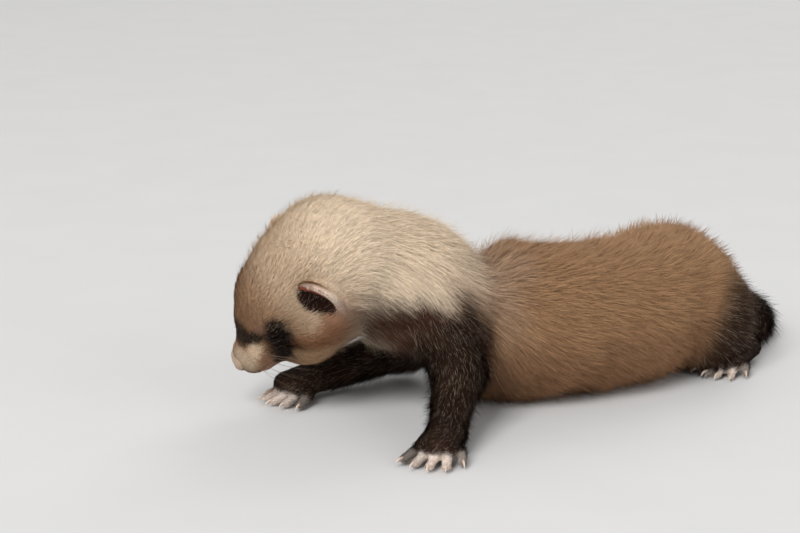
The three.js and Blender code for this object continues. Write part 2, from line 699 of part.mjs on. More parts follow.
function makeHindleg(name, { chest, loin, rump }) {
  const side = name === "left" ? 1 : -1;
  const back = tangent("hips").setZ(0).normalize();
  const out = back.clone().cross(UP).multiplyScalar(side);
  const hips = station("hips").clone().setZ(0);
  const place = (along, sideways, up) =>
    hips.clone().addScaledVector(back, along).addScaledVector(out, sideways).setZ(up);
  const axes = new THREE.Matrix4().makeBasis(back, out, UP.clone().multiplyScalar(-side));
  const turn = new THREE.Quaternion().setFromRotationMatrix(axes);
  const haunch = egg(place(0, THIGH.out, THIGH.up), V(THIGH.long, THIGH.wide, THIGH.high), turn);
  const heel = place(HINDLEG.back + HINDLEG.foot * 0.42, HINDLEG.out, HINDLEG.footHigh);
  const knuckles = place(HINDLEG.back - HINDLEG.foot * 0.32, HINDLEG.out, HINDLEG.footHigh - 0.6);
  const size = {
    ...HINDLEG,
    wide: HINDLEG.footWide + 0.8,
    heelHigh: HINDLEG.footHigh + 0.4,
  };
  const box = around([heel, knuckles], 16);
  const foot = makePaw(heel, knuckles, HINDLEG.footHigh, size, side, null, box, 520);
  const whole = solidOf(thinned(surface(haunch, around([place(0, THIGH.out, THIGH.up)], 22), 1.8), 360));
  const clear = (solid) => [chest, loin, rump].reduce((rest, other) => rest.subtract(other), solid);
  return { thigh: largest(clear(whole.intersect(aboveFloor).subtract(grown(foot)))), foot: largest(clear(foot)) };
}

// Colours and finishes of the coat and bare skin
const coat = (color, roughness = 0.9) => new THREE.MeshStandardMaterial({ color, roughness, metalness: 0 });
const cream = coat(0xb39c80);
const saddle = coat(0x8f745a);
const dark = coat(0x3a2c25);
const face = coat(0xa18a6c);
const bare = coat(0xc08a7c, 0.6);

const model = new THREE.Group();

function add(name, solid, material) {
  const { vertProperties, triVerts } = solid.getMesh();
  const geometry = new THREE.BufferGeometry();
  geometry.setAttribute("position", new THREE.BufferAttribute(new Float32Array(vertProperties), 3));
  geometry.setIndex(new THREE.BufferAttribute(new Uint32Array(triVerts), 1));
  geometry.computeVertexNormals();
  const mesh = new THREE.Mesh(geometry, material);
  mesh.name = name;
  model.add(mesh);
}

const head = makeHead();
add("head", head, face);
add("nose", makeNose(head), bare);
add("ear_left", makeEar(1, head), cream);
add("ear_right", makeEar(-1, head), cream);

const trunk = makeTrunk();
add("neck", trunk.neck, cream);
add("chest", trunk.chest, saddle);
add("loin", trunk.loin, saddle);
add("rump", trunk.rump, saddle);

const TAIL_PARTS = ["tail_base", "tail_middle", "tail_tip"];
TAIL_PARTS.forEach((name, i) => add(name, makeTail(i, TAIL_PARTS.length, trunk.rump), dark));

const clearances = { head: grown(head) };
for (const [name, solid] of Object.entries(trunk)) clearances[name] = grown(solid);
for (const name of ["left", "right"]) {
  const fore = makeForeleg(name, clearances);
  add(`upper_arm_${name}`, fore.upper, dark);
  add(`forearm_${name}`, fore.forearm, dark);
  add(`forepaw_${name}`, fore.paw, dark);
  const hind = makeHindleg(name, clearances);
  add(`thigh_${name}`, hind.thigh, dark);
  add(`hind_foot_${name}`, hind.foot, dark);
}

// The origin is on the floor, under the middle of the model
const extent = new THREE.Box3().setFromObject(model);
const middle = extent.getCenter(V(0, 0, 0));
model.position.set(-middle.x, -middle.y, -extent.min.z);

export default model;
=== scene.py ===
"""A sleeping ferret kit at life size: one seamless skin, a coat of fine hairs, and nose, claws and whiskers.
"""

import math

import bmesh
import bpy
import numpy as np
from mathutils import Matrix, Vector
from mathutils.kdtree import KDTree


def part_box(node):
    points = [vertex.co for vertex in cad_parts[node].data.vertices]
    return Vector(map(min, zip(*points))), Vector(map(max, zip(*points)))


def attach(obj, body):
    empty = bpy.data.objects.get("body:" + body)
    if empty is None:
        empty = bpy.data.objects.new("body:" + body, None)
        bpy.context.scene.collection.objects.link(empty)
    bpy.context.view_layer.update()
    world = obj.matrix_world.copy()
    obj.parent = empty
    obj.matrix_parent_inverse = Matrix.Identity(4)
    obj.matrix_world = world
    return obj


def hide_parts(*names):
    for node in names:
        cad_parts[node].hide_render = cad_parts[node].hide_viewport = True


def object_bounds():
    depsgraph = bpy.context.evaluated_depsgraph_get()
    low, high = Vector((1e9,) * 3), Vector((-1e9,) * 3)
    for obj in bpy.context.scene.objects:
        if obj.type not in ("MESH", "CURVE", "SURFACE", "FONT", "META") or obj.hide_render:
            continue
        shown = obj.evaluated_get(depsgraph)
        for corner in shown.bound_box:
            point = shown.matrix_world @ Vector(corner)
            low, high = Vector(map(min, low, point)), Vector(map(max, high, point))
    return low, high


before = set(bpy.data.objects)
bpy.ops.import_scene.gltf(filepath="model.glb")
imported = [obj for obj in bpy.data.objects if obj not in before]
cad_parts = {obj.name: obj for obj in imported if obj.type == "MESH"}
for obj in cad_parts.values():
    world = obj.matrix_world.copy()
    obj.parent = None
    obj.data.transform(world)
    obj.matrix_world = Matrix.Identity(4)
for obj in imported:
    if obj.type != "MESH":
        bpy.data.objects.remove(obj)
cad_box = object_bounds()

UP = np.array([0.0, 0.0, 1.0])
SIDES = {"left": 1, "right": -1}

HEAD_LENGTH = 47
NOSE_TIP = np.array([-48.5, -10, 15])
HEAD_PITCH = math.radians(48)
HEAD_ROLL = math.radians(27)
HEAD_YAW = math.radians(5)
EYE = (28, 9.6, 4.2)
EAR_ROOT = (11.2, 17.2, 3.2)
EAR = {"wide": 8.6, "tall": 5.6, "deep": 4.1, "back": 0.5}
EAR_BOWL = {"at": (1.3, -1, -0.6), "size": (7.4, 4.5, 2.8)}  # open in front and below
EAR_WAYS = {
    "left": {"out": (-0.82, 0.55, 0.2), "opening": (0.42, 0.85, -0.1), "slant": 0.5},
    "right": {"out": (-0.93, 0.3, -0.2), "opening": (0.3, 0.92, -0.2), "slant": 0},
}
EAR_CANAL = {"at": (1.8, 0.4, -1.4), "size": (6.6, 4.2, 3.4)}
EAR_FRONT = -1  # what lies past it in the ear's own frame is open
NOSE_MIDDLE = np.array([-49.28, -10.3, 15.28])  # of the nose pad's solid
NOSE_PAD = {"at": (45.6, 0, -1.9), "size": (2.9, 4.1, 3.2)}
NOSE_WING = {"at": (46, 2.6, -1.6), "size": (2.2, 1.7, 2)}
# Hollows on the left of the nose: how soft the edge is, from where to where, and the radius at both ends
NOSE_HOLLOWS = [
    (0.5, (46.6, 1.5, -2), (49.5, 2.1, -2.1), 0.85, 0.85),  # nostril
    (0.3, (48.4, 2, -2), (45.6, 5.2, -2.9), 0.4, 0.35),  # slit beside it
]
NOSE_CLEFT = ((48.7, 0, -2.4), (47, 0, -6), 0.3, 0.4)  # in the middle

# Centre, half width and half height of each section, from the nape to the root of the tail
SPINE = [
    ((-14, -9, 44.2), 19.6, 20),
    ((2, -5, 39.8), 20.5, 20),
    ((16, -1, 29), 22, 18.8),
    ((31, 4, 24.2), 24, 25),
    ((50, 11, 23), 24.5, 24.2),
    ((69, 23, 22.2), 24, 23.4),
    ((84, 42, 21.8), 24.5, 23),
    ((90, 60, 19), 20, 19.8),
    ((91, 77, 13.5), 10.5, 10.5),
]
HIPS = 6  # section of the spine
THROAT = {"at": (-2, -8, 27), "size": (14, 13, 8)}
TAIL = [
    ((91, 66, 17), 12),
    ((92, 78, 12), 9.6),
    ((99, 90, 8), 8.2),
    ((110, 92, 7), 7.3),
    ((119, 83, 6.3), 6.6),
    ((120.5, 69, 5.6), 5.9),
    ((115, 57, 4.6), 4.8),
    ((108, 50, 3), 2.4),
]
# Shoulder, elbow, wrist and knuckles
FORELEGS = {
    "left": [(13, -13, 28), (17, -30, 18), (13.5, -52, 6.6), (10.5, -61, 5)],
    "right": [(14, 13, 23), (2, 21, 11), (-24, 5, 6.4), (-33, -3, 5.2)],
}
PALM_HIGH = {"left": 4.4, "right": 5}  # half height at the knuckles
FORELEG = {"shoulder": 12.5, "elbow": 7.6, "wrist": 5.4, "palm_wide": 6.9, "toe": 2.1, "toe_length": 9}
# Its heel and knuckles lie this far back from the hips, out to the side and up
HINDLEG = {
    "heel": (14.5, 25, 4.8),
    "knuckles": (-4, 25, 4.2),
    "size": (4.7, 5.2, 6.2, 4.8),  # half width and half height at the heel, and at the knuckles
    "toe": 2,
    "toe_length": 8.4,
}
THIGH = {"out": 19.5, "up": 16, "long": 19, "wide": 11.5, "high": 16}
TOE_FAN = 0.22  # angle between neighbouring toes, in radians
TOE_SPACING = 0.44  # between their roots, over half the palm's width
TOE_ARC = 0.45  # how far back the roots beside the middle one lie
TOE_TAPER = 0.8  # its tip's radius over its root's
TOE_SHORTER = 0.05  # than the one beside it, as a share of its length
TOE_UP = {"root": 1.2, "tip": -0.35}  # of its middle over its radius
INNER_TOE = {"number": -2, "long": 0.62, "back": 2.6}

# Reach of the fillet where a form joins the next
FILLET = {"face": 4, "head": 7.5, "throat": 6, "tail": 6, "thigh": 6}
FILLET |= {"arm": 5, "elbow": 4, "paw": 2.4, "toe": 1.1}
EAR_FILLET = {"bowl": 1, "front": 0.8, "canal": 1, "root": 1.4}
CLAW = {"length": 2.9, "root": 0.62, "tip": 0.08, "flat": 0.72, "drop": 0.9, "arch": 0.55, "buried": 1.2}

SEED = 11
SKIN_STEP = 0.6  # between the skin's vertices
FLOOR_GAP = 0.45  # that the skin keeps to the floor
SKIN_PAINTED_SHADE = 0.8  # of the skin's colours, over the coat's: painted shade, the skin darker as if in the shadow of the hairs
COARSE = 4  # skin steps in a step of the first, rough search for the skin
HAIRS = 440000

SHIFT = np.array(sum(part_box("nose"), Vector()) / 2) * 1000 - NOSE_MIDDLE


def placed(points):
    return (np.asarray(points, float) + SHIFT) / 1000


def kit_box(*nodes):
    corners = np.array([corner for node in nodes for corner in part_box(node)]) * 1000 - SHIFT
    return corners.min(0), corners.max(0)


# Vectors, one to a row


def dot(a, b):
    return (a * b).sum(-1)


def length_of(vectors):
    return np.sqrt(dot(vectors, vectors))


def unit(vectors):
    vectors = np.asarray(vectors, float)
    return vectors / np.maximum(length_of(vectors), 1e-9)[..., None]


def mix(a, b, share):
    return a + (b - a) * share


def smooth(low, high, values):
    t = np.clip((values - low) / (high - low), 0, 1)
    return t * t * (3 - 2 * t)


def ripple(points, size, seed):
    """Soft noise of about -1 to 1, whose lumps are about that size across."""
    rng = np.random.default_rng(seed)
    ways = unit(rng.normal(size=(7, 3))) * (2 * math.pi / size) * rng.uniform(0.6, 1.3, (7, 1))
    return np.sin(points @ ways.T + rng.uniform(0, 2 * math.pi, 7)).sum(-1) / 3.2


def spline(points, samples):
    """The centripetal Catmull-Rom curve through the points, with that many samples to each stretch."""
    points = np.array(points, float)
    ends = [2 * points[0] - points[1], *points, 2 * points[-1] - points[-2]]
    rows = []
    for p0, p1, p2, p3 in zip(ends, ends[1:], ends[2:], ends[3:]):
        d0, d1, d2 = [np.linalg.norm(b - a) ** 0.5 for a, b in ((p0, p1), (p1, p2), (p2, p3))]
        d1 = d1 if d1 > 1e-4 else 1.0
        d0, d2 = [d if d > 1e-4 else d1 for d in (d0, d2)]
        leave = ((p1 - p0) / d0 - (p2 - p0) / (d0 + d1) + (p2 - p1) / d1) * d1
        arrive = ((p2 - p1) / d1 - (p3 - p1) / (d1 + d2) + (p3 - p2) / d2) * d1
        for t in np.arange(samples) / samples:
            cubic = (2 * p1 - 2 * p2 + leave + arrive) * t**3
            rows.append(p1 + leave * t + (3 * p2 - 3 * p1 - 2 * leave - arrive) * t**2 + cubic)
    return np.array(rows + [points[-1]])


# Fields: each takes points and gives about how far outside the form they lie, and less than 0 inside


def oval(q, sizes):
    """About how far outside an oval the points lie, with q their places over its half sizes."""
    reach = length_of(q)
    slope = length_of(q / sizes)
    return (reach - 1) * np.where(slope > 1e-5, reach / np.maximum(slope, 1e-5), np.min(sizes, axis=-1))


def egg(p, centre, radii, axes=None):
    q = p - np.array(centre, float)
    q = q if axes is None else q @ axes
    radii = np.array(radii, float)
    return oval(q / radii, radii)


def limb(p, a, b, radius_a, radius_b):
    a, b = np.array(a, float), np.array(b, float)
    axis = b - a
    along = np.clip((p - a) @ axis / (axis @ axis), 0, 1)
    return length_of(p - a - along[:, None] * axis) - mix(radius_a, radius_b, along)


def blend(reach, *fields):
    """Joins fields with a fillet of about the given reach."""
    joined = fields[0]
    for field in fields[1:]:
        close = np.maximum(reach - np.abs(joined - field), 0) / reach
        joined = np.minimum(joined, field) - close * close * reach / 4
    return joined


def carve(reach, field, cutter):
    return -blend(reach, -field, cutter)


class Tube:
    """A tube of oval sections on one smooth line, with round ends."""

    def __init__(self, stations, samples=6):
        self.at = spline([s[0] for s in stations], samples)
        self.size = spline([(s[1], s[-1], 0) for s in stations], samples)[:, :2]
        self.along = unit(np.gradient(self.at, axis=0))
        self.side = unit(np.cross(UP, self.along))
        self.top = np.cross(self.along, self.side)

    def near(self, p):
        """The row of the tube that each point is nearest to, with its share of the way to the next."""
        starts, steps = self.at[:-1], np.diff(self.at, axis=0)
        lengths2 = dot(steps, steps)
        ahead = p @ steps.T - dot(starts, steps)
        t = np.clip(ahead / lengths2, 0, 1)
        gaps = t * t * lengths2 - 2 * t * ahead - 2 * p @ starts.T + dot(starts, starts)
        row = gaps.argmin(1)
        return row, t[np.arange(len(p)), row][:, None]

    def local(self, p):
        """Places over the half sizes across, up and along, the sizes, the station, 0 to 1, and the way."""
        row, share = self.near(p)
        here = {k: mix(v[row], v[row + 1], share) for k, v in vars(self).items()}
        q = p - here["at"]
        cap = here["size"].min(1)
        across, up, ahead = [dot(q, here[way]) for way in ("side", "top", "along")]
        sizes = np.stack([here["size"][:, 0], here["size"][:, 1], cap], 1)
        station = (row + share[:, 0]) / (len(self.at) - 1)
        return np.stack([across, up, ahead], 1) / sizes, sizes, station, here["along"]

    def field(self, p):
        q, sizes, _, _ = self.local(p)
        return oval(q, sizes)


def settle(points, field, passes=3, reach=0.05):
    """Moves points onto the surface along the field's slope, and gives the way out of it too."""
    for _ in range(passes):
        here = field(points)
        slope = np.stack([field(points + reach * way) - here for way in np.eye(3)], 1) / reach
        steep = np.maximum(dot(slope, slope), 1e-4)
        points = points + slope * np.clip(-here / steep, -0.4, 0.4)[:, None]
    return points, unit(slope)


# Head


def head_frame():
    """The head's axes as columns, and its origin at the back of the skull."""
    forward, left = np.array([-1.0, 0, 0]), np.array([0, -1.0, 0])
    ahead = forward * math.cos(HEAD_PITCH) - UP * math.sin(HEAD_PITCH)
    crown = UP * math.cos(HEAD_PITCH) + forward * math.sin(HEAD_PITCH)
    rolled_crown = crown * math.cos(HEAD_ROLL) + left * math.sin(HEAD_ROLL)
    rolled_left = left * math.cos(HEAD_ROLL) - crown * math.sin(HEAD_ROLL)
    turn = np.array(Matrix.Rotation(-HEAD_YAW, 3, "Z"))
    axes = turn @ np.stack([ahead, rolled_left, rolled_crown], 1)
    return axes, NOSE_TIP - axes @ np.array([HEAD_LENGTH, 0, -2])


HEAD_AXES, HEAD_ORIGIN = head_frame()


def to_head(p):
    return (p - HEAD_ORIGIN) @ HEAD_AXES


def from_head(points):
    return np.asarray(points, float) @ HEAD_AXES.T + HEAD_ORIGIN


SKULL = Tube(
    [
        ((5, 0, 0.2), 18.4, 17.8),
        ((15, 0, 1), 18.3, 17.8),
        ((24, 0, 1.2), 15.6, 15.8),
        ((31, 0, -0.2), 11.8, 12.2),
        ((37, 0, -1.8), 8.4, 8.6),
        ((42, 0, -2.6), 6.1, 5.8),
    ]
)


def ear_matrix(name):
    side = SIDES[name]
    out = unit(np.array(EAR_WAYS[name]["out"]))
    opening = np.array(EAR_WAYS[name]["opening"])
    back = -unit(opening - out * (opening @ out))
    ear = np.eye(4)
    base = np.cross(out, back)
    ear[:3, :3] = np.stack([base, out + EAR_WAYS[name]["slant"] * base, back], 1)
    ear[:3, 3] = EAR_ROOT
    head = np.eye(4)
    head[:3, :3] = HEAD_AXES
    head[:3, 3] = HEAD_ORIGIN
    return head @ np.diag([1, side, 1, 1]) @ ear @ np.diag([side, 1, 1, 1])


EAR_MATRICES = {name: ear_matrix(name) for name in SIDES}


def to_ear(p, name):
    back = np.linalg.inv(EAR_MATRICES[name])
    return p @ back[:3, :3].T + back[:3, 3]


# Forms on the skull: centre in the head's frame, of the left one where y isn't 0, and half sizes
FACE_FORMS = [
    ((17, 11, -5.5), (12, 9, 9)),  # cheeks
    ((40.5, 3.5, -3.9), (5.4, 3.7, 3.5)),  # whisker pads
    ((37.5, 0, -8.2), (7.2, 4.7, 2.9)),  # chin
    ((21.5, 0, -12.8), (16.5, 12, 9.8)),  # jaw and throat
    ((21.5, 8.5, -11), (11.5, 7.6, 7.2)),  # between cheeks and jaw
    (EYE, (4.3, 3.4, 3.2)),  # closed lids
]


def mirrored(point, side):
    """A point of the head's left side, moved to the given side."""
    return np.array(point, float) * (1, side, 1)


def both_sides(point):
    """A point of the head, and its mirror image where it isn't in the middle."""
    return [mirrored(point, side) for side in SIDES.values()][: 2 if point[1] else 1]


def head_form(p):
    q = to_head(p)
    forms = [egg(q, at, size) for left, size in FACE_FORMS for at in both_sides(left)]
    return blend(FILLET["face"], SKULL.field(q), *forms)


def ear_sides(q):
    """How far outside an ear's own form and outside its bowl the points lie, with q in the ear's frame."""
    outer = egg(q, (-EAR["back"], 0, 0), (EAR["wide"], EAR["tall"], EAR["deep"]))
    return outer, egg(q, EAR_BOWL["at"], EAR_BOWL["size"])


def ear_form(p, name):
    q = to_ear(p, name)
    outer, inner = ear_sides(q)
    return carve(EAR_FILLET["front"], carve(EAR_FILLET["bowl"], outer, inner), q[:, 2] - EAR_FRONT)


def canal_form(q):
    return egg(q, EAR_CANAL["at"], EAR_CANAL["size"])


# Trunk, tail and legs

TRUNK = Tube(SPINE)
BRUSH = Tube([(at, r, r) for at, r in TAIL])


def trunk_form(p):
    return blend(FILLET["throat"], TRUNK.field(p), egg(p, THROAT["at"], THROAT["size"]))


def toes(knuckles, forward, side, wide, toe, toe_length):
    """Root, tip and way of five toes, fanned from the front of a palm, the shorter inner toe first."""
    right = np.cross(forward, UP) * side
    digits = []
    for n in (-2, -1, 0, 1, 2):
        way = forward * math.cos(n * TOE_FAN) + right * math.sin(n * TOE_FAN)
        inner = n == INNER_TOE["number"]
        long = toe_length * (INNER_TOE["long"] if inner else 1 - TOE_SHORTER * abs(n))
        back = INNER_TOE["back"] if inner else TOE_ARC * n * n
        root = knuckles + right * (n * wide * TOE_SPACING) - forward * back
        root[2] = toe + TOE_UP["root"]
        tip = root + way * (long - toe)
        tip[2] = toe + TOE_UP["tip"]
        digits.append((root, tip, way))
    return digits


class Paw:
    def __init__(self, heel, knuckles, side, heel_wide, heel_high, wide, high, toe, toe_length):
        heel, knuckles = np.array(heel, float), np.array(knuckles, float)
        self.forward = unit((knuckles - heel) * (1, 1, 0))
        self.toe = toe
        self.heel = heel
        self.knuckles = knuckles
        self.toes = toes(knuckles, self.forward, side, wide, toe, toe_length)
        middle = ((heel + knuckles) / 2, (heel_wide + wide) / 2, (heel_high + high) / 2)
        self.palm = Tube([(heel, heel_wide, heel_high), middle, (knuckles, wide, high)])

    def field(self, p):
        tip_radius = self.toe * TOE_TAPER
        digits = [limb(p, root, tip, self.toe, tip_radius) for root, tip, _ in self.toes]
        return blend(FILLET["toe"], self.palm.field(p), *digits)


def forepaw(name):
    size = (FORELEG["wrist"], FORELEG["wrist"], FORELEG["palm_wide"], PALM_HIGH[name])
    return Paw(*FORELEGS[name][2:], SIDES[name], *size, FORELEG["toe"], FORELEG["toe_length"])


SPINE_POINTS = np.array([s[0] for s in SPINE], float)
HIPS_BACK = unit((SPINE_POINTS[HIPS + 1] - SPINE_POINTS[HIPS - 1]) * (1, 1, 0))


def by_hips(name, back, out, up):
    """A point back from the hips, out to one side and up from the floor."""
    sideways = np.cross(HIPS_BACK, UP) * SIDES[name]
    point = SPINE_POINTS[HIPS] + HIPS_BACK * back + sideways * out
    return np.array([point[0], point[1], up])


def hind_foot(name):
    heel, knuckles = [by_hips(name, *HINDLEG[joint]) for joint in ("heel", "knuckles")]
    return Paw(heel, knuckles, SIDES[name], *HINDLEG["size"], HINDLEG["toe"], HINDLEG["toe_length"])


PAWS = {f"forepaw_{name}": forepaw(name) for name in SIDES}
PAWS |= {f"hind_foot_{name}": hind_foot(name) for name in SIDES}


def arm_form(p, name):
    shoulder, elbow, wrist, _ = FORELEGS[name]
    upper = limb(p, shoulder, elbow, FORELEG["shoulder"], FORELEG["elbow"])
    lower = limb(p, elbow, wrist, FORELEG["elbow"], FORELEG["wrist"])
    return blend(FILLET["elbow"], upper, lower)


def thigh_form(p, name):
    axes = np.stack([HIPS_BACK, np.cross(HIPS_BACK, UP), UP], 1)
    centre = by_hips(name, 0, THIGH["out"], THIGH["up"])
    return egg(p, centre, (THIGH["long"], THIGH["wide"], THIGH["high"]), axes)


def both(kind, form):
    """A form on either side, as two regions."""
    return {f"{kind}_{name}": lambda p, name=name: form(p, name) for name in SIDES}


REGIONS = {
    "head": head_form,
    **both("ear", ear_form),
    "trunk": trunk_form,
    "tail": BRUSH.field,
    **both("arm", arm_form),
    **both("thigh", thigh_form),
    **{name: paw.field for name, paw in PAWS.items()},
}
NAMES = list(REGIONS)
COLUMN = {name: column for column, name in enumerate(NAMES)}
OUT_OF_REACH = 12.0  # past this distance from a region's box its field is only this number


# Solids in which a region lies, where they aren't just the one of its own name
REGION_NODES = {
    "trunk": ["head", "neck", "chest", "loin", "rump"],
    "tail": ["rump", "tail_base", "tail_middle", "tail_tip"],
    **{f"arm_{name}": [f"{part}_{name}" for part in ("upper_arm", "forearm", "forepaw")] for name in SIDES},
}


def region_box(name):
    low, high = kit_box(*REGION_NODES.get(name, [name]))
    return low - OUT_OF_REACH, high + OUT_OF_REACH


BOXES = {name: region_box(name) for name in NAMES}


def region_fields(p):
    """Every region's field at the points, one column each."""
    fields = np.full((len(p), len(NAMES)), OUT_OF_REACH)
    for column, name in enumerate(NAMES):
        low, high = BOXES[name]
        inside = ((p > low) & (p < high)).all(1)
        if inside.any():
            fields[inside, column] = REGIONS[name](p[inside])
    return fields


def joined(fields):
    """The whole body but the ears, from the columns of its regions."""
    f = dict(zip(NAMES, fields.T))
    whole = blend(FILLET["tail"], f["trunk"], f["tail"])
    for side in SIDES:
        whole = blend(FILLET["thigh"], whole, f[f"thigh_{side}"])
        whole = blend(FILLET["arm"], whole, f[f"arm_{side}"])
    whole = np.minimum(blend(FILLET["head"], f["head"], f["trunk"]), whole)
    for paw, near in (("forepaw", "arm"), ("hind_foot", "thigh")):
        for side in SIDES:
            whole = np.minimum(whole, blend(FILLET["paw"], f[f"{near}_{side}"], f[f"{paw}_{side}"]))
    return whole


# The coat of each region: its depth over the skin, a hair's length and width, its lean off the skin in
# degrees, and hairs to a square millimetre
COAT_KEYS = ("deep", "long", "wide", "lean", "dense")
COAT = {
    "head": (1.6, 4.8, 0.115, 28, 19),
    "ear": (0.15, 1, 0.07, 14, 24),
    "trunk": (2.9, 7.8, 0.13, 29, 9.5),
    "tail": (2.2, 8, 0.14, 24, 7),
    "arm": (1.2, 5.4, 0.11, 30, 12),
    "thigh": (2.2, 6.3, 0.13, 25, 8),
    "forepaw": (0.5, 1.9, 0.09, 20, 19),
    "hind_foot": (0.5, 2, 0.09, 20, 15),
}
COAT_COLUMNS = {
    key: np.array([COAT[name.removesuffix("_left").removesuffix("_right")][n] for name in NAMES])
    for n, key in enumerate(COAT_KEYS)
}
EAR_DEPTH = 0.15  # of an ear's skin under its form
LOOSE = {"deep": 0.55, "size": 21, "from": (2, 22), "seed": 41}  # lumps of the loose skin
SOFT_EDGE = 1.6  # over which one region's coat turns into the next's
MUZZLE, FACE, BROW = 40, 29, 20  # where the coat is shortest, short, and begins to shorten, along the head
FACE_SHARE = 0.55  # of the way to the muzzle's coat that the face's has gone
AT_MUZZLE = dict(zip(COAT_KEYS, (0.3, 1.3, 0.085, 24, 32)))
AT_CROWN = {"long": 6.2, "lean": 37}  # where the arch of the neck raises the coat
CROWN = {"front": (20, 6), "back": (-34, -20), "low": (0, 12)}  # its edges, from outside to inside


def region_shares(fields):
    shares = np.exp(-(fields - fields.min(1, keepdims=True)) / SOFT_EDGE)
    return shares / shares.sum(1, keepdims=True)


def touched(shares):
    """Each region that some of the points belong to, which points these are, and its share of each."""
    for name, share in zip(NAMES, shares.T):
        near = share > 1e-3
        if near.any():
            yield name, near, share[near, None]


def face_share(q):
    """0 behind the brow to 1 at the muzzle, with q in the head's frame."""
    return mix(FACE_SHARE * smooth(BROW, FACE, q[:, 0]), 1, smooth(FACE, MUZZLE, q[:, 0]))


def crown_share(q):
    """1 on the crown and nape and 0 away from them, with q in the head's frame."""
    along, up = q[:, 0], q[:, 2]
    return smooth(*CROWN["front"], along) * smooth(*CROWN["back"], along) * smooth(*CROWN["low"], up)


def coat_value(key, shares, q):
    """One number of the coat at each point, from the shares of the regions there."""
    value = shares @ COAT_COLUMNS[key]
    if key in AT_CROWN:
        value = mix(value, AT_CROWN[key], crown_share(q))
    return mix(value, AT_MUZZLE[key], shares[:, COLUMN["head"]] * face_share(q))


def plain_skin(p):
    """The skin without its folds: the body less the coat's depth, with the ears standing on it."""
    fields = region_fields(p)
    columns = {name: COLUMN[f"ear_{name}"] for name in SIDES}
    ears = {name: fields[:, column].copy() for name, column in columns.items()}
    fields[:, list(columns.values())] = OUT_OF_REACH
    shares = region_shares(fields)
    loose = shares[:, COLUMN["trunk"]] * smooth(*LOOSE["from"], p[:, 0])
    lumps = LOOSE["deep"] * loose * ripple(p, LOOSE["size"], LOOSE["seed"])
    skin = joined(fields) + coat_value("deep", shares, to_head(p)) + lumps
    for name, ear in ears.items():
        near = ear < OUT_OF_REACH
        if near.any():
            hollow = carve(EAR_FILLET["canal"], skin[near], canal_form(to_ear(p[near], name)))
            skin[near] = blend(EAR_FILLET["root"], hollow, ear[near] + EAR_DEPTH)
    return np.maximum(skin, FLOOR_GAP - p[:, 2])


def line_gap(p, line):
    """How far each point is from a line of points."""
    gaps = [limb(p, a, b, 0, 0) for a, b in zip(line, line[1:])]
    return np.min(gaps, axis=0)


def crease(points, samples=5):
    """A line given in the head's frame, laid on the skin."""
    return settle(from_head(spline(points, samples)), plain_skin)[0]


LIP_FRONT = (45.5, 0, -6.4)
LIP_SIDE = [(43.5, 3.6, -7), (40, 6, -7.2), (36, 7.8, -7.6), (32.5, 9.6, -7.4)]  # from there to the corner
LID = np.array([(3.4, -2.2, -0.6), (1.2, 1.4, -1.8), (-1.4, 2.6, -1.8), (-3.6, 2.2, -0.4)]) + EYE
MOUTH_LINE = [*[mirrored(point, -1) for point in reversed(LIP_SIDE)], LIP_FRONT, *LIP_SIDE]
# The line, depth and half width of each fold
FOLDS = [(crease(MOUTH_LINE), 0.75, 0.55)]
FOLDS += [(crease([mirrored(point, side) for point in LID]), 0.6, 0.42) for side in SIDES.values()]
FACE_MIDDLE = (36, 0, -2)
FACE_REACH = 22  # from its middle, with all the folds in it


def skin_field(p):
    value = plain_skin(p)
    near = (length_of(p - from_head(FACE_MIDDLE)) < FACE_REACH) & (np.abs(value) < 4)
    if near.any():
        for line, depth, half in FOLDS:
            gap = line_gap(p[near], line)
            value[near] += depth * np.exp(-((gap / half) ** 2))
    return value


def in_chunks(field, points, size=60000):
    return np.concatenate([field(points[i : i + size]) for i in range(0, len(points), size)])


# Meshing

CORNERS = np.array([(i, j, k) for i in (0, 1) for j in (0, 1) for k in (0, 1)])


def corner_views(values, cells):
    """A grid's values at each of the eight corners of all its cells."""
    return [values[i : cells[0] + i, j : cells[1] + j, k : cells[2] + k] for i, j, k in CORNERS]


def blown_up(array):
    for axis in range(3):
        array = np.repeat(array, COARSE, axis)
    return array


def grid(field, low, high, step):
    """The field's values on a grid."""
    count = np.ceil((high - low) / step).astype(int) + 1
    return in_chunks(field, low + np.argwhere(np.ones(count)) * step).reshape(count)


def sampled(field, low, high, step):
    """The field on a grid: exact near the surface, and only its sign right elsewhere."""
    rough = grid(field, low, high, step * COARSE)
    cells = np.array(rough.shape) - 1
    closest = np.min([np.abs(view) for view in corner_views(rough, cells)], axis=0)
    wanted = blown_up(closest < step * COARSE * 1.3)
    fine_cells = cells * COARSE
    near = np.zeros(fine_cells + 1, bool)
    values = np.ones(fine_cells + 1, np.float32)
    values[:-1, :-1, :-1] = blown_up(rough[:-1, :-1, :-1])
    for view in corner_views(near, fine_cells):
        view |= wanted
    values[near] = in_chunks(field, low + np.argwhere(near) * step)
    return values


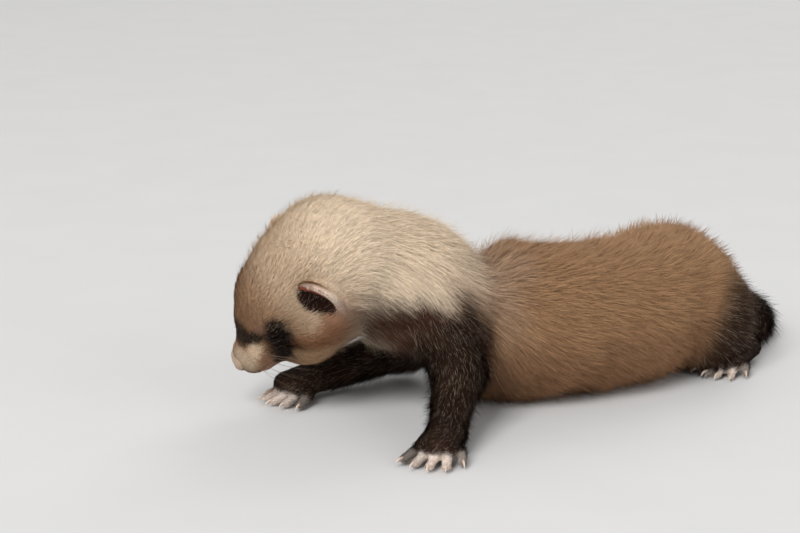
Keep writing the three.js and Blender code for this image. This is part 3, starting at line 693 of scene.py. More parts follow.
def net(values, low, step):
    """The surface net of a grid of values: points and four-sided faces, pointing out."""
    inside = values < 0
    size = np.array(values.shape) - 1
    filled = np.zeros(size, np.int8)
    for view in corner_views(inside, size):
        filled += view
    cells = np.argwhere((filled > 0) & (filled < 8))
    number = np.full(size, -1, np.int64)
    number[tuple(cells.T)] = np.arange(len(cells))
    total, hits = np.zeros((len(cells), 3)), np.zeros(len(cells))
    for a in CORNERS:
        for axis in np.flatnonzero(a == 0):
            b = a + np.eye(3, dtype=int)[axis]
            va, vb = values[tuple((cells + a).T)], values[tuple((cells + b).T)]
            crossed = (va < 0) != (vb < 0)
            t = va[crossed] / (va[crossed] - vb[crossed])
            total[crossed] += a + t[:, None] * (b - a)
            hits[crossed] += 1
    points = low + step * (cells + total / hits[:, None])
    faces = []
    for axis in range(3):
        ahead, u, v = np.roll(np.eye(3, dtype=int), -axis, axis=0)
        low_side = inside[tuple(slice(0, n - d) for n, d in zip(inside.shape, ahead))]
        high_side = inside[tuple(slice(d, n) for n, d in zip(inside.shape, ahead))]
        edges = np.argwhere(low_side != high_side)
        edges = edges[((edges > 0) | (ahead == 1)).all(1) & (edges < size).all(1)]
        quads = np.stack([number[tuple((edges - d).T)] for d in (0 * u, u, u + v, v)], 1)
        out = inside[tuple(edges.T)]
        faces.append(np.where(out[:, None], quads, quads[:, ::-1]))
    faces = np.concatenate(faces)
    return points, faces[(faces >= 0).all(1)]


def mesh_object(name, points, faces, material):
    """An object of faces, given as arrays with one face to a row, or lists of corners of any number."""
    flat = [np.asarray(group, np.int32) for group in faces]
    sizes = np.concatenate([np.full(len(group), group.shape[1]) for group in flat])
    loops = np.concatenate([group.ravel() for group in flat])
    mesh = bpy.data.meshes.new(name)
    mesh.vertices.add(len(points))
    mesh.vertices.foreach_set("co", placed(points).astype(np.float32).ravel())
    mesh.loops.add(len(loops))
    mesh.loops.foreach_set("vertex_index", loops)
    mesh.polygons.add(len(sizes))
    mesh.polygons.foreach_set("loop_start", np.concatenate([[0], np.cumsum(sizes)[:-1]]).astype(np.int32))
    mesh.update(calc_edges=True)
    mesh.shade_smooth()
    mesh.materials.append(material)
    obj = bpy.data.objects.new(name, mesh)
    bpy.context.scene.collection.objects.link(obj)
    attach(obj, "root")
    return obj


def paint(obj, colours):
    """Gives the vertices the colours that the materials read."""
    attribute = obj.data.color_attributes.new("tone", "FLOAT_COLOR", "POINT")
    rgba = np.ones((len(colours), 4), np.float32)
    rgba[:, :3] = colours
    attribute.data.foreach_set("color", rgba.ravel())


def refined(points, groups, wanted):
    """Splits the faces in four where wanted(centres) says so, with triangles round that patch."""
    form = bmesh.new()
    vertices = [form.verts.new(p) for p in points.tolist()]
    for group in groups:
        for face in group.tolist():
            form.faces.new([vertices[i] for i in face])
    centres = np.concatenate([points[group].mean(1) for group in groups])
    form.faces.ensure_lookup_table()
    edges = {edge for i in np.flatnonzero(wanted(centres)) for edge in form.faces[i].edges}
    bmesh.ops.subdivide_edges(form, edges=list(edges), cuts=1, use_grid_fill=True)
    bmesh.ops.triangulate(form, faces=[face for face in form.faces if len(face.verts) > 4])
    form.verts.index_update()
    points = np.array([vertex.co for vertex in form.verts])
    faces = [[vertex.index for vertex in face.verts] for face in form.faces]
    form.free()
    return points, [np.array([face for face in faces if len(face) == n]) for n in (3, 4)]


# Markings


def tone(red, green, blue):
    """A colour as seen on a screen, 0 to 255, as the linear one that light needs."""
    c = np.array([red, green, blue]) / 255
    return np.where(c < 0.04045, c / 12.92, ((c + 0.055) / 1.055) ** 2.4)


CREAM = tone(238, 219, 193)
PALE_TAN = tone(212, 187, 158)
TAN = tone(172, 137, 106)
FAWN = tone(151, 115, 86)
SADDLE = tone(172, 134, 99)
SADDLE_SIDE = tone(158, 119, 88)
WARM_BROWN = tone(160, 108, 74)
BROWN = tone(84, 57, 44)
DARK_BROWN = tone(39, 27, 21)
MASK_BROWN = tone(33, 22, 17)
GREY_BEIGE = tone(196, 173, 148)
WHISKER_PAD = tone(222, 196, 168)
MAUVE = tone(158, 120, 100)
JAW_TAN = tone(202, 168, 132)
LIP = tone(166, 126, 102)
SHOULDER = tone(176, 148, 124)
PALE_PINK = tone(250, 230, 212)
EAR_RED = tone(132, 66, 47)
# painted shade deep in an ear's bowl
BOWL_PAINTED_SHADE = tone(54, 34, 27)
TOE_PINK = tone(250, 234, 222)

# Colours along the trunk from nape to tail, on its back, its sides and its belly; sides and belly darker
# than the back, partly the coat's own colour and partly painted shade
TRUNK_STOPS = (0, 0.13, 0.23, 0.38, 0.55, 0.75, 0.9, 1)
TRUNK_BACK = (CREAM, CREAM, SHOULDER, SADDLE, SADDLE, SADDLE, BROWN, DARK_BROWN)
TRUNK_SIDE = (BROWN, BROWN, DARK_BROWN, SADDLE_SIDE, SADDLE_SIDE, SADDLE_SIDE, BROWN, DARK_BROWN)
TRUNK_BELLY = (CREAM, BROWN, DARK_BROWN, DARK_BROWN, BROWN, BROWN, BROWN, DARK_BROWN)
# How high on the sides the back's colours end, over the half height, at each station
TRUNK_EDGE = {0: -0.32, 0.09: -0.16, 0.15: 0.04, 0.2: 0.26, 0.26: 0.2, 0.34: -0.1, 1: 0}
BACK_EDGE = (-0.22, 0.22)  # over which back and sides mix
BELLY_EDGE = (-1, -0.7)

# Colours that follow the first along the head, and where each begins and is full
HEAD_FADES = [(TAN, 34, 26), (PALE_TAN, 28, 16), (CREAM, 15, -2)]

# Marks of the face: centre in the head's frame with the left side's y, half sizes, colour and strength
FACE_MARKS = [
    ((13, 20, -4.5), (9, 7, 4.5), WARM_BROWN, 0.85),  # under the ear
    ((21, 18, -10), (9, 8, 4.5), WARM_BROWN, 0.75),  # lower cheek
    ((27, 15, -5.5), (6, 7, 4.5), WARM_BROWN, 0.7),  # behind the mask
    ((30.2, 12.4, -2.6), (3.7, 5, 5.4), BROWN, 0.6),  # next to the mask
    ((29, 11.5, -10.5), (7.5, 8, 5), JAW_TAN, 0.85),  # corner of the jaw
    ((13, 14, -18), (14, 13, 6), GREY_BEIGE, 0.8),  # throat
    ((38.4, 3, 6.2), (4.8, 5.5, 4.2), DARK_BROWN, 0.95),  # bridge of the nose
    ((35.6, 8.2, 4.6), (3.8, 3.4, 1.9), DARK_BROWN, 0.95),  # between bridge and mask
    ((32.8, 11, 7.4), (2, 2.2, 1.8), MAUVE, 0.95),  # bare spot before the eye
    ((39.4, 8, 0.8), (3.4, 3, 2.8), WHISKER_PAD, 1),  # whisker pad
    ((45, 4, -0.6), (4.2, 6, 4.4), GREY_BEIGE, 1),  # tip of the muzzle
    ((41.5, 6, -6.6), (5.5, 5, 2.6), LIP, 0.85),  # lip and chin
]
# The mask, from over the eye to the corner of the mouth: places and half widths
MASK = [((28.6, 13.6, 4.2), 4), ((31, 12.6, 0.6), 4), ((34, 9.3, -5), 3.2), ((36.4, 6.8, -9), 2.7)]
MASK_EDGE = (1.3, -1.2)
MARK_EDGE = 0.3  # of its half size over which a mark fades, to either side


def stops(station, colours):
    return np.stack([np.interp(station, TRUNK_STOPS, channel) for channel in np.array(colours).T], 1)


def trunk_tones(p):
    q, _, station, _ = TRUNK.local(p)
    station = station + 0.02 * ripple(p, 14, 7)
    high = q[:, 1] + 0.12 * ripple(p, 9, 3)
    sides = stops(station, TRUNK_SIDE)
    tones = mix(stops(station, TRUNK_BELLY), sides, smooth(*BELLY_EDGE, high)[:, None])
    edge = np.interp(station, list(TRUNK_EDGE), list(TRUNK_EDGE.values()))
    return mix(tones, stops(station, TRUNK_BACK), smooth(*BACK_EDGE, high - edge)[:, None])


def head_tones(q):
    """The head's colours, alike on both sides."""
    tones = np.tile(FAWN, (len(q), 1))
    for colour, begins, full in HEAD_FADES:
        tones = mix(tones, colour, smooth(begins, full, q[:, 0])[:, None])
    even = np.stack([q[:, 0], np.abs(q[:, 1]), q[:, 2]], 1) + 0.5 * ripple(q, 5, 8)[:, None]
    for centre, sizes, colour, strength in FACE_MARKS:
        reach = length_of((even - centre) / np.array(sizes, float))
        tones = mix(tones, colour, (strength * smooth(1 + MARK_EDGE, 1 - MARK_EDGE, reach))[:, None])
    stretches = zip(MASK, MASK[1:])
    gap = np.min([limb(even, a, b, wide_a, wide_b) for (a, wide_a), (b, wide_b) in stretches], axis=0)
    return mix(tones, MASK_BROWN, smooth(*MASK_EDGE, gap)[:, None])


def bowl_tones_and_shade(tones, p, name):
    """Paints an ear's bowl: red just under the rim, and nearly black deeper in as painted shade in the
    hollow.
    """
    q = to_ear(p, name)
    outer, inner = ear_sides(q)
    hollow = np.minimum(inner, canal_form(q))
    inside = smooth(0.8, 0.2, hollow) * smooth(2.4, 1.6, outer) * smooth(2.8, 2.2, q[:, 2])
    red_to_shade = mix(EAR_RED, BOWL_PAINTED_SHADE, smooth(3, 0.6, q[:, 1] - 0.12 * q[:, 0])[:, None])
    return mix(tones, red_to_shade, inside[:, None])


def ear_tones(p, name):
    """Pale on the rim, and tan where the ear's back comes out of the coat."""
    return mix(TAN, PALE_PINK, smooth(2.2, 0.6, to_ear(p, name)[:, 2])[:, None])


def dark_tones(p, size):
    """The dark brown of legs and tail, uneven in lumps of that size."""
    return mix(DARK_BROWN, BROWN, (0.16 + 0.12 * ripple(p, size, 5))[:, None])


TOE_PALE = (0.45, 1, 1, 0.8, 0.3)  # of each toe, from the inner one


def paw_tones(p, paw):
    """Dark down to the toes, which are pale but for the outer one."""
    tones = dark_tones(p, 7)
    for pale, (root, tip, _) in zip(TOE_PALE, paw.toes):
        near = limb(p, mix(root, tip, 0.72), tip, paw.toe, paw.toe)
        tones = mix(tones, mix(DARK_BROWN, TOE_PINK, pale), smooth(1.1, -0.3, near)[:, None])
    return tones


def markings(p, shares):
    """Colour at each point, the same for skin and coat."""
    tones = np.zeros((len(p), 3))
    for name, near, share in touched(shares):
        kind, _, side = name.rpartition("_")
        if name == "head":
            colours = head_tones(to_head(p[near]))
        elif name == "trunk":
            colours = trunk_tones(p[near])
        elif kind == "ear":
            colours = ear_tones(p[near], side)
        elif name in PAWS:
            colours = paw_tones(p[near], PAWS[name])
        else:
            colours = dark_tones(p[near], 8)
        tones[near] += share * colours
    # the ears' bowls, with their painted shade, over all the rest
    for name in SIDES:
        tones = bowl_tones_and_shade(tones, p, name)
    return tones


# Coat

LIMBS = {
    name: Tube([(joint, FORELEG["elbow"], FORELEG["elbow"]) for joint in leg[:3]])
    for name, leg in FORELEGS.items()
}
NOSE_FRONT = (48, 0, -2)  # in the head's frame: the coat lies away from it
THIGH_FALL = 0.7  # how far down the coat lies on the thighs, over how far back
SIDE_FALL = 0.45  # the same at the half width of trunk and tail


def lie(p, name):
    """The way in which the coat of a region lies, from the nose to the tail and down the legs."""
    kind, _, side = name.rpartition("_")
    if name == "head":
        return unit(p - from_head(NOSE_FRONT))
    if kind == "ear":
        return np.tile(EAR_MATRICES[side][:3, 1], (len(p), 1))
    if name in PAWS:
        return np.tile(PAWS[name].forward, (len(p), 1))
    if kind == "thigh":
        return np.tile(unit(HIPS_BACK - THIGH_FALL * UP), (len(p), 1))
    if kind == "arm":
        return LIMBS[side].local(p)[3]
    q, _, _, along = (TRUNK if name == "trunk" else BRUSH).local(p)
    return along - UP * (SIDE_FALL * np.abs(q[:, :1]))


def round_and_along(across, along):
    return np.stack([np.arctan2(across[:, 0], across[:, 1]) / (2 * math.pi) + 0.5, along], 1)


def chart(p, name):
    """Each point's place on an unwrap of its region, from 0 to 1 each way: round its axis and along it."""
    kind, _, side = name.rpartition("_")
    if name == "head":
        q = to_head(p)
        return round_and_along(q[:, 1:], (q[:, 0] + 22) / 75)
    if kind == "ear":
        q = to_ear(p, side)
        outside = egg(q, (-EAR["back"], 0, -0.3), (EAR["wide"] - 1, EAR["tall"] - 1, EAR["deep"] - 0.8)) > 0
        across = np.clip(q[:, 0] / EAR["wide"] / 4 + 0.25, 0, 0.5)
        return np.stack([across + 0.5 * outside, q[:, 1] / EAR["tall"] / 2.4 + 0.5], 1)
    if kind == "thigh":
        q = p - by_hips(side, 0, THIGH["out"], THIGH["up"])
        return np.stack([q @ HIPS_BACK / THIGH["long"], q[:, 2] / THIGH["high"]], 1) / 2.4 + 0.5
    if name in PAWS:
        paw = PAWS[name]
        along = (p - paw.heel) @ paw.forward
        long = (paw.knuckles - paw.heel) @ paw.forward
        return round_and_along(paw.palm.local(p)[0], (along + 8) / (long + 20))
    q, _, station, _ = {"trunk": TRUNK, "tail": BRUSH}.get(name, LIMBS.get(side)).local(p)
    return round_and_along(q, station * 0.9 + 0.05)


BELLY = {"down": -0.45, "up": 2.5}  # skin that faces down like this, no higher than this, has no coat
FOLD_BARE = (0.8, 3)  # half widths from a fold's middle where hairs begin, and where they are dense


def sow(points, normals, quads, rng):
    """Roots of the hairs, spread as densely as the coat grows there, and the ways out of the skin."""
    corners = points[quads]
    areas = length_of(np.cross(corners[:, 2] - corners[:, 0], corners[:, 3] - corners[:, 1])) / 2
    centres = corners.mean(1)
    shares = in_chunks(lambda p: region_shares(region_fields(p)), centres)
    dense = coat_value("dense", shares, to_head(centres))
    out = unit(normals[quads].mean(1))
    dense *= ~((out[:, 2] < BELLY["down"]) & (centres[:, 2] < BELLY["up"]))
    for line, _, half in FOLDS:
        bare, covered = [half * share for share in FOLD_BARE]
        dense *= smooth(bare, covered, line_gap(centres, line))
    for name in SIDES:
        q = to_ear(centres, name)
        outer, inner = ear_sides(q)
        bare = ((inner + outer < 0.2) & (outer < 0.8)) | (canal_form(q) < 0.3)
        dense[bare & (q[:, 1] > -0.5)] = 0  # none on the rim and in the upper bowl
    expected = areas * dense
    expected *= HAIRS / expected.sum()
    face = np.repeat(np.arange(len(quads)), np.floor(expected + rng.random(len(quads))).astype(int))
    u, v = rng.random((2, len(face), 1))
    weights = ((1 - u) * (1 - v), u * (1 - v), u * v, (1 - u) * v)
    roots = sum(w * points[quads[face, i]] for i, w in enumerate(weights))
    ways_out = unit(sum(w * normals[quads[face, i]] for i, w in enumerate(weights)))
    return roots, ways_out


def nearest(points, guides):
    tree = KDTree(len(guides))
    for i, guide in enumerate(guides.tolist()):
        tree.insert(guide, i)
    tree.balance()
    return np.array([tree.find(point)[1] for point in points.tolist()])


def turned(vectors, axes, angles):
    """Vectors turned round axes at right angles to them."""
    return vectors * np.cos(angles)[:, None] + np.cross(axes, vectors) * np.sin(angles)[:, None]


CLUMP = 4  # hairs to a clump
TUFT = 14  # clumps to a tuft
PULL = (0.3, 0.1)  # of a hair's tip to its clump's and its tuft's
SWIRLS = [(8, 32, 21), (4, 11, 22)]  # of the coat's lie: degrees, size and seed
SPREAD = {"long": (0.72, 1.12), "wide": (0.8, 1.2), "roll": (-20, 20)}  # least and most of each hair's own
JITTER = {"way": 6, "clump_lean": 0.12, "lean": 0.18, "clump_shade": 0.08, "shade": 0.09}
# Longer hairs with dark tips behind the neck, and the stations between which they set in
GUARD = {"share": 0.2, "from": (0.18, 0.34), "long": 1.2, "dark": 0.66}
FLY = {"share": 0.1, "over": 3.4, "long": 1.3, "lean": 1.9, "pull": 0.2}  # long hairs that stand off
STRAY = {"share": 0.1, "under": 0.12, "pale": 0.35}  # hairs of the dark coat with pale tips
BY_EAR = {"long": 0.4, "reach": (0.5, 4.5)}  # how short hairs are there
MINGLE = 0.55  # how far a hair's colour may stray over the edge of a marking
ROOT_SHADE_AND_TONE = {"base": 0.86, "ends": 1.05, "range": (0.6, 1.5)}  # of a hair, over its marking's colour: darker at the base as painted shade deep in the coat, a little lighter at the ends, and the range of its own random tone
STEPS = 2  # of a hair, from root to tip
TRIANGLES = 2 * STEPS - 1  # in a hair
MOST_TRIANGLES = 190000  # in one piece of the coat
PATCH = 0.003  # across a hair's patch on the unwrap
ROOT_DEPTH = 0.2  # under the skin
LOWEST_HAIR = 0.12
HIGHEST_HAIR = cad_box[1][2] * 1000 - SHIFT[2] + 2  # loose hairs on the arched neck bend over here


def bend(long, lean, way, out, share):
    """Where a hair is at that share of its length from its root: it rises, and then lies along the skin."""
    rise = np.sin(lean) * (share - 0.35 * share**2)
    return long[:, None] * (way * (np.cos(lean) * share)[:, None] + out * rise[:, None])


def combed(roots, out, shares):
    """The way in which each hair lies along the skin."""
    way = np.zeros(roots.shape)
    for name, near, share in touched(shares):
        way[near] += share * lie(roots[near], name)
    swirl = sum(math.radians(angle) * ripple(roots, size, seed) for angle, size, seed in SWIRLS)
    return turned(unit(way - out * dot(way, out)[:, None]), out, swirl)


def grow(points, normals, quads):
    """Grows the coat, in pieces by region and along it."""
    rng = np.random.default_rng(SEED)
    roots, out = sow(points, normals, quads, rng)
    fields = in_chunks(region_fields, roots)
    shares = region_shares(fields)
    q = to_head(roots)
    count = len(roots)
    way = combed(roots, out, shares)

    station = in_chunks(lambda p: TRUNK.local(p)[2], roots)
    behind = smooth(*GUARD["from"], station) * shares[:, COLUMN["trunk"]]
    guard = rng.random(count) < GUARD["share"] * behind
    long, wide = [coat_value(key, shares, q) * rng.uniform(*SPREAD[key], count) for key in ("long", "wide")]
    long *= np.where(guard, GUARD["long"], 1)
    lean = np.radians(coat_value("lean", shares, q))
    ear_gap = np.minimum(fields[:, COLUMN["ear_left"]], fields[:, COLUMN["ear_right"]])
    long *= mix(BY_EAR["long"], 1, smooth(*BY_EAR["reach"], ear_gap))
    fly = (rng.random(count) < FLY["share"]) & (long > FLY["over"])
    long[fly] *= FLY["long"]

    guides = rng.choice(count, count // CLUMP, replace=False)
    tufts = rng.choice(guides, len(guides) // TUFT, replace=False)
    clump = guides[nearest(roots, roots[guides])]
    tuft = tufts[nearest(roots, roots[tufts])]
    jitter = rng.normal(size=(4, count))
    clump_turn = JITTER["way"] * jitter[0, clump]
    clump_way = turned(way, out, np.radians(clump_turn))
    clump_lean = lean * (1 + JITTER["clump_lean"] * jitter[2, clump])
    way = turned(way, out, np.radians(clump_turn + JITTER["way"] * jitter[1]))
    lean = clump_lean * (1 + JITTER["lean"] * jitter[3]) * np.where(fly, FLY["lean"], 1)
    tip = roots + bend(long, lean, way, out, 1)
    clump_tip = roots[clump] + bend(long[clump] * 1.02, clump_lean, clump_way[clump], out[clump], 1)
    tuft_tip = roots[tuft] + bend(long[tuft], clump_lean[tuft], clump_way[tuft], out[tuft], 1)
    pull = PULL[0] * (clump_tip - tip) + PULL[1] * (tuft_tip - tip)
    pull[fly] *= FLY["pull"]

    tones = markings(roots + MINGLE * rng.normal(size=(count, 3)), shares)
    clump_shade = 1 + JITTER["clump_shade"] * jitter[2, clump] + 0.05 * ripple(roots, 4, 31)
    shade = np.clip(clump_shade * (1 + JITTER["shade"] * rng.normal(size=count)), *ROOT_SHADE_AND_TONE["range"])
    # each hair painted darker at its root than at its ends: painted shade deep in the coat
    base, ends = [tones * (ROOT_SHADE_AND_TONE[end] * shade)[:, None] for end in ("base", "ends")]
    ends[guard] *= GUARD["dark"]
    stray = (rng.random(count) < STRAY["share"]) & (tones.mean(1) < STRAY["under"])
    ends[stray] = mix(ends[stray], CREAM, STRAY["pale"])
    roll = np.radians(rng.uniform(*SPREAD["roll"], count))

    hair = {"root": roots, "out": out, "way": way, "long": long, "wide": wide, "lean": lean, "pull": pull}
    hair |= {"roll": roll, "base": base, "ends": ends}
    material = coat_material()
    owner = shares.argmax(1)
    for column, name in enumerate(NAMES):
        mine = np.flatnonzero(owner == column)
        places = chart(roots[mine], name)
        order = np.argsort(places[:, 1], kind="stable")
        pieces = math.ceil(len(mine) * TRIANGLES / MOST_TRIANGLES)
        for n, part in enumerate(np.array_split(order, pieces), 1):
            chosen = {key: values[mine[part]] for key, values in hair.items()}
            coat_piece(f"coat_{name}_{n}", chosen, places[part], material)


def coat_piece(name, hair, places, material):
    """Hairs as thin tapered blades in one mesh, each with its own patch of the unwrap."""
    way, out = hair["way"], hair["out"]
    across = turned(unit(np.cross(way, out)), way, hair["roll"])
    rings, colours, patches = [], [], []
    for step in range(STEPS + 1):
        share = step / STEPS
        middle = hair["root"] - ROOT_DEPTH * out + bend(hair["long"], hair["lean"], way, out, share)
        middle += hair["pull"] * share**2
        middle[:, 2] = np.clip(middle[:, 2], LOWEST_HAIR, HIGHEST_HAIR)
        half = hair["wide"][:, None] / 2 * (1 - 0.55 * share**1.6)
        for side in (-1, 1) if step < STEPS else (0,):
            rings.append(middle + across * half * side)
            # from the root's painted shade to the lighter ends
            colours.append(mix(hair["base"], hair["ends"], share**0.7))
            patches.append(places + np.array([side * PATCH / 2, (share - 0.5) * PATCH]))
    per = len(rings)
    points = np.stack(rings, 1).reshape(-1, 3)
    quads = [[2 * s, 2 * s + 1, 2 * s + 3, 2 * s + 2] for s in range(STEPS - 1)]
    starts = np.arange(len(places))[:, None, None] * per
    quads = (starts + np.array(quads)[None]).reshape(-1, 4)
    tips = (starts[:, 0] + np.array([[per - 3, per - 2, per - 1]])).reshape(-1, 3)
    obj = mesh_object(name, points, [quads, tips], material)
    paint(obj, np.stack(colours, 1).reshape(-1, 3))
    facing = unit(out + 0.4 * np.cross(way, across))
    obj.data.normals_split_custom_set_from_vertices(np.repeat(facing, per, axis=0))
    uv = obj.data.uv_layers.new(name="OFBake")
    patches = np.clip(np.stack(patches, 1).reshape(-1, 2), 0, 1)
    corners = np.concatenate([quads.ravel(), tips.ravel()])
    uv.data.foreach_set("uv", patches[corners].astype(np.float32).ravel())


# Materials


def fill_in(node, inputs):
    """Sets a node's inputs, and links those that are given as another node's outputs."""
    for key, value in inputs.items():
        if isinstance(value, bpy.types.NodeSocket):
            node.id_data.links.new(value, node.inputs[key])
        else:
            node.inputs[key].default_value = value


def new_material(name):
    """A material, its shader and a function that adds a node to it with these inputs and settings."""
    material = bpy.data.materials.new(name)
    material.use_nodes = True
    nodes = material.node_tree.nodes

    def add(kind, inputs=None, **settings):
        node = nodes.new(kind)
        for key, value in settings.items():
            setattr(node, key, value)
        fill_in(node, inputs or {})
        return node

    return material, nodes["Principled BSDF"], add


def toned(add, scale, low, high):
    """The painted colours, lighter and darker in fine specks, and the noise of the specks."""
    painted = add("ShaderNodeAttribute", attribute_name="tone").outputs["Color"]
    place = add("ShaderNodeTexCoord").outputs["Object"]
    noise = add("ShaderNodeTexNoise", {"Vector": place, "Scale": scale, "Detail": 3.0}).outputs["Fac"]
    levels = {"From Min": 0.3, "From Max": 0.7, "To Min": low, "To Max": high}
    speck = add("ShaderNodeMapRange", {"Value": noise} | levels).outputs["Result"]
    colour = add("ShaderNodeVectorMath", {0: painted, 1: speck}, operation="MULTIPLY")
    return colour.outputs["Vector"], noise


def bumped(add, height, strength, distance):
    inputs = {"Height": height, "Strength": strength, "Distance": distance}
    return add("ShaderNodeBump", inputs).outputs["Normal"]


def coat_material():
    material, shader, add = new_material("coat_hair")
    colour, _ = toned(add, 900.0, 0.9, 1.1)
    fill_in(shader, {"Base Color": colour, "Roughness": 0.65, "Specular IOR Level": 0.06})
    return material


def skin_material():
    material, shader, add = new_material("skin_under_coat")
    colour, noise = toned(add, 1600.0, 0.75, 1.15)
    normal = bumped(add, noise, 0.5, 0.0002)
    fill_in(shader, {"Base Color": colour, "Roughness": 0.7, "Specular IOR Level": 0.1, "Normal": normal})
    return material


def bare_material(name, colour, dark, scale, roughness, depth):
    """Bare skin or horn: cells of that scale, darker in the furrows between them."""
    material, shader, add = new_material(name)
    place = add("ShaderNodeTexCoord").outputs["Object"]
    cells = add("ShaderNodeTexVoronoi", {"Vector": place, "Scale": scale}, feature="SMOOTH_F1")
    cells = cells.outputs["Distance"]
    ramp = add("ShaderNodeValToRGB", {"Fac": cells})
    for element, shade in zip(ramp.color_ramp.elements, (colour, dark)):
        element.color = (*shade, 1)
    normal = bumped(add, cells, -0.6, depth)
    fill_in(shader, {"Base Color": ramp.outputs["Color"], "Roughness": roughness, "Normal": normal})
    fill_in(shader, {"Subsurface Weight": 0.06, "Subsurface Scale": 0.001})
    return material


# Skin


FINE = {"behind": 22, "face": 24, "ear": 2.4}  # where the skin of face and ears is finer
FINE_FOLD = 1.3  # to either side of a fold


def on_face_or_ears(centres):
    q = to_head(centres)
    face = (q[:, 0] > FINE["behind"]) & (length_of(q - FACE_MIDDLE) < FINE["face"])
    left, right = [np.abs(ear_form(centres, name)) < FINE["ear"] for name in SIDES]
    return face | left | right


def close_to_folds(centres):
    gaps = np.min([line_gap(centres, line) for line, _, _ in FOLDS], axis=0)
    return gaps < FINE_FOLD


def make_skin():
    low, high = kit_box(*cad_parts)
    values = sampled(skin_field, low - 1, high + 1, SKIN_STEP)
    points, quads = net(values, low - 1, SKIN_STEP)
    points = in_chunks(lambda p: settle(p, skin_field)[0], points)
    groups = [quads]
    for wanted in (on_face_or_ears, close_to_folds):
        points, groups = refined(points, groups, wanted)
        points = in_chunks(lambda p: settle(p, skin_field, passes=2)[0], points)
    normals = in_chunks(lambda p: settle(p, skin_field, passes=1)[1], points)
    skin = mesh_object("skin", points, groups, skin_material())
    flesh = [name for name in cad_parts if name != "nose"]
    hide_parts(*flesh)
    shares = in_chunks(lambda p: region_shares(region_fields(p)), points)
    # the skin painted darker than the coat over it: painted shade under the hairs
    paint(skin, markings(points, shares) * SKIN_PAINTED_SHADE)
    triangles, quads = groups
    quads = np.concatenate([quads, triangles[:, [0, 1, 2, 2]]]) if len(triangles) else quads
    return points, normals, quads


# Nose, claws and whiskers


def nose_field(p):
    q = to_head(p)
    wings = [egg(q, at, NOSE_WING["size"]) for at in both_sides(NOSE_WING["at"])]
    form = blend(1.2, egg(q, NOSE_PAD["at"], NOSE_PAD["size"]), *wings)
    for side in SIDES.values():
        for edge, start, end, *radii in NOSE_HOLLOWS:
            form = carve(edge, form, limb(q, mirrored(start, side), mirrored(end, side), *radii))
    return carve(0.6, form, limb(q, *NOSE_CLEFT))


def make_nose():
    low, high = kit_box("nose")
    step = 0.2
    points, quads = net(grid(nose_field, low - 2, high + 2, step), low - 2, step)
    points, _ = settle(points, nose_field)
    colours = tone(180, 158, 138), tone(142, 118, 102)
    material = bare_material("nose_leather", *colours, 2600.0, 0.42, 0.00012)
    nose = mesh_object("nose_pad", points, [quads], material)
    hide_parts("nose")


def rod(line, radii, sides, flat=1.0):
    """Points and faces of a thin tapering rod along a line, closed at both ends."""
    line = np.array(line, float)
    along = unit(np.gradient(line, axis=0))
    side = unit(np.cross(UP + 1e-3, along))
    top = np.cross(along, side)
    angles = np.arange(sides) * 2 * math.pi / sides
    rings = [
        at + r * (np.outer(np.cos(angles), a) * flat + np.outer(np.sin(angles), b))
        for at, r, a, b in zip(line, radii, side, top)
    ]
    points = np.concatenate([*rings, line[:1], line[-1:]])
    n = np.arange(sides)
    after = (n + 1) % sides
    quads = [np.stack([n, after, after + sides, n + sides], 1) + sides * i for i in range(len(line) - 1)]
    last = sides * (len(line) - 1)
    end = sides * len(line)
    caps = [(after, n, end), (n + last, after + last, end + 1)]
    caps = [np.stack(np.broadcast_arrays(*cap), 1) for cap in caps]
    return points, np.concatenate(quads), np.concatenate(caps)


def rods(name, parts, material):
    """Rods in one object."""
    counts = np.cumsum([0] + [len(points) for points, _, _ in parts])
    points = np.concatenate([part[0] for part in parts])
    faces = [np.concatenate([part[kind] + count for part, count in zip(parts, counts)]) for kind in (1, 2)]
    mesh_object(name, points, faces, material)


def claw_line(root, way):
    tip = root + way * CLAW["length"]
    tip[2] = max(tip[2] - CLAW["drop"], 0.35)
    middle = mix(root, tip, 0.55)
    middle[2] += CLAW["arch"]
    return spline([root - way * CLAW["buried"], middle, tip], 6)


def make_claws():
    material = bare_material("claw_horn", tone(228, 212, 196), tone(200, 178, 160), 500.0, 0.35, 0.00005)
    for name, paw in PAWS.items():
        parts = []
        for _, tip, way in paw.toes:
            root = tip + way * (0.35 * paw.toe)
            root[2] = tip[2] + 0.3
            line = claw_line(root, way)
            shares = np.linspace(0, 1, len(line))
            parts.append(rod(line, mix(CLAW["root"], CLAW["tip"], shares**1.6), 10, CLAW["flat"]))
        rods(f"claws_{name}", parts, material)


# The first whisker's root and way in the head's frame, and the steps to the next and to the next row
WHISKER_ROOTS = np.array([(42.2, 5.2, -1.2), (-1.7, 0.9, 0), (0, 0, -1.6)])
WHISKER_WAYS = np.array([(-0.35, 0.95, -0.08), (-0.16, 0, 0), (0, 0, -0.26)])
WHISKER = {"rows": 3, "in_row": 4, "long": (11, 17), "radius": 0.055, "droop": (-0.5, 0, -0.25)}


def stepped(steps, n, row, side):
    first, back, down = steps
    return mirrored(first + n * back + row * down, side)


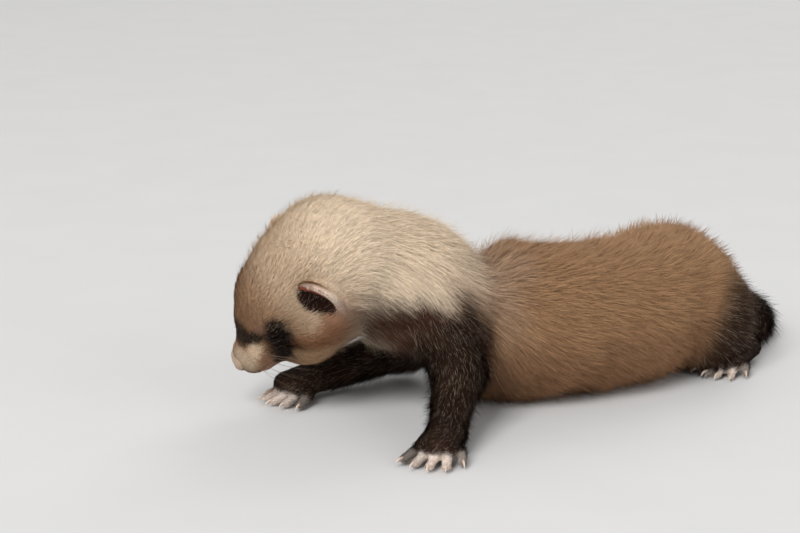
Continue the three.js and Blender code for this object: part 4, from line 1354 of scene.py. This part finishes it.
def make_whiskers():
    rng = np.random.default_rng(SEED + 1)
    material = bare_material("whisker", tone(132, 112, 94), tone(98, 80, 68), 300.0, 0.4, 0.00001)
    droop = HEAD_AXES @ np.array(WHISKER["droop"]) * 0.5
    t = np.linspace(0, 1, 12)[:, None]
    for name, side in SIDES.items():
        parts = []
        for row, n in np.ndindex(WHISKER["rows"], WHISKER["in_row"]):
            start = from_head([stepped(WHISKER_ROOTS, n, row, side)])
            root, out = settle(start, plain_skin, passes=6)
            away = HEAD_AXES @ stepped(WHISKER_WAYS, n, row, side)
            way = unit(away + 0.35 * out[0] + 0.08 * rng.normal(size=3))
            line = root + rng.uniform(*WHISKER["long"]) * (way * t + droop * t**2)
            line[:, 2] = np.maximum(line[:, 2], 0.3)
            parts.append(rod(line, WHISKER["radius"] * (1 - 0.85 * t[:, 0]), 5))
        rods(f"whiskers_{name}", parts, material)


# Floor, light and camera

VIEW = {"at": (0, 0, 42), "elevation": 14, "away": 673, "lens": 100}


def make_floor():
    bpy.ops.mesh.primitive_plane_add(size=24)
    floor = bpy.context.object
    floor.name = "floor"
    material, shader, add = new_material("floor_paint")
    place = add("ShaderNodeTexCoord").outputs["Object"]
    noise = add("ShaderNodeTexNoise", {"Vector": place, "Scale": 30.0, "Detail": 4.0})
    shade = add("ShaderNodeMapRange", {"Value": noise.outputs["Fac"], "To Min": 0.66, "To Max": 0.7})
    fill_in(shader, {"Base Color": shade.outputs["Result"], "Roughness": 0.8})
    floor.data.materials.append(material)


def aimed(data, at, target):
    """A new lamp or camera that looks from one point to another."""
    obj = bpy.data.objects.new(data.name, data)
    bpy.context.scene.collection.objects.link(obj)
    obj.location = Vector(at)
    obj.rotation_euler = (Vector(target) - Vector(at)).to_track_quat("-Z", "Y").to_euler()
    return obj


def make_lights():
    target = placed((10, 0, 25))
    lamps = {
        "key": ((-1, -2, 2.1), 1.4, 70.0),
        "fill": ((2.4, -1.8, 1.2), 2.2, 18.0),
        "back": ((0.9, 2.4, 1.8), 1.8, 20.0),
    }
    for name, (at, size, power) in lamps.items():
        lamp = bpy.data.lights.new(name, "AREA")
        lamp.size = size
        lamp.energy = power
        aimed(lamp, at, target)
    world = bpy.data.worlds.new("studio")
    world.use_nodes = True
    background = world.node_tree.nodes["Background"]
    fill_in(background, {"Color": (1, 0.985, 0.965, 1), "Strength": 0.45})
    bpy.context.scene.world = world
    bpy.context.scene.view_settings.view_transform = "Standard"


def make_camera():
    camera = bpy.data.cameras.new("camera")
    camera.lens = VIEW["lens"]
    tilt = math.radians(VIEW["elevation"])
    away = np.array([0, -math.cos(tilt), math.sin(tilt)]) * VIEW["away"]
    target = np.array(VIEW["at"])
    bpy.context.scene.camera = aimed(camera, placed(target + away), placed(target))


make_camera()
make_floor()
make_lights()
grow(*make_skin())
make_nose()
make_claws()
make_whiskers()
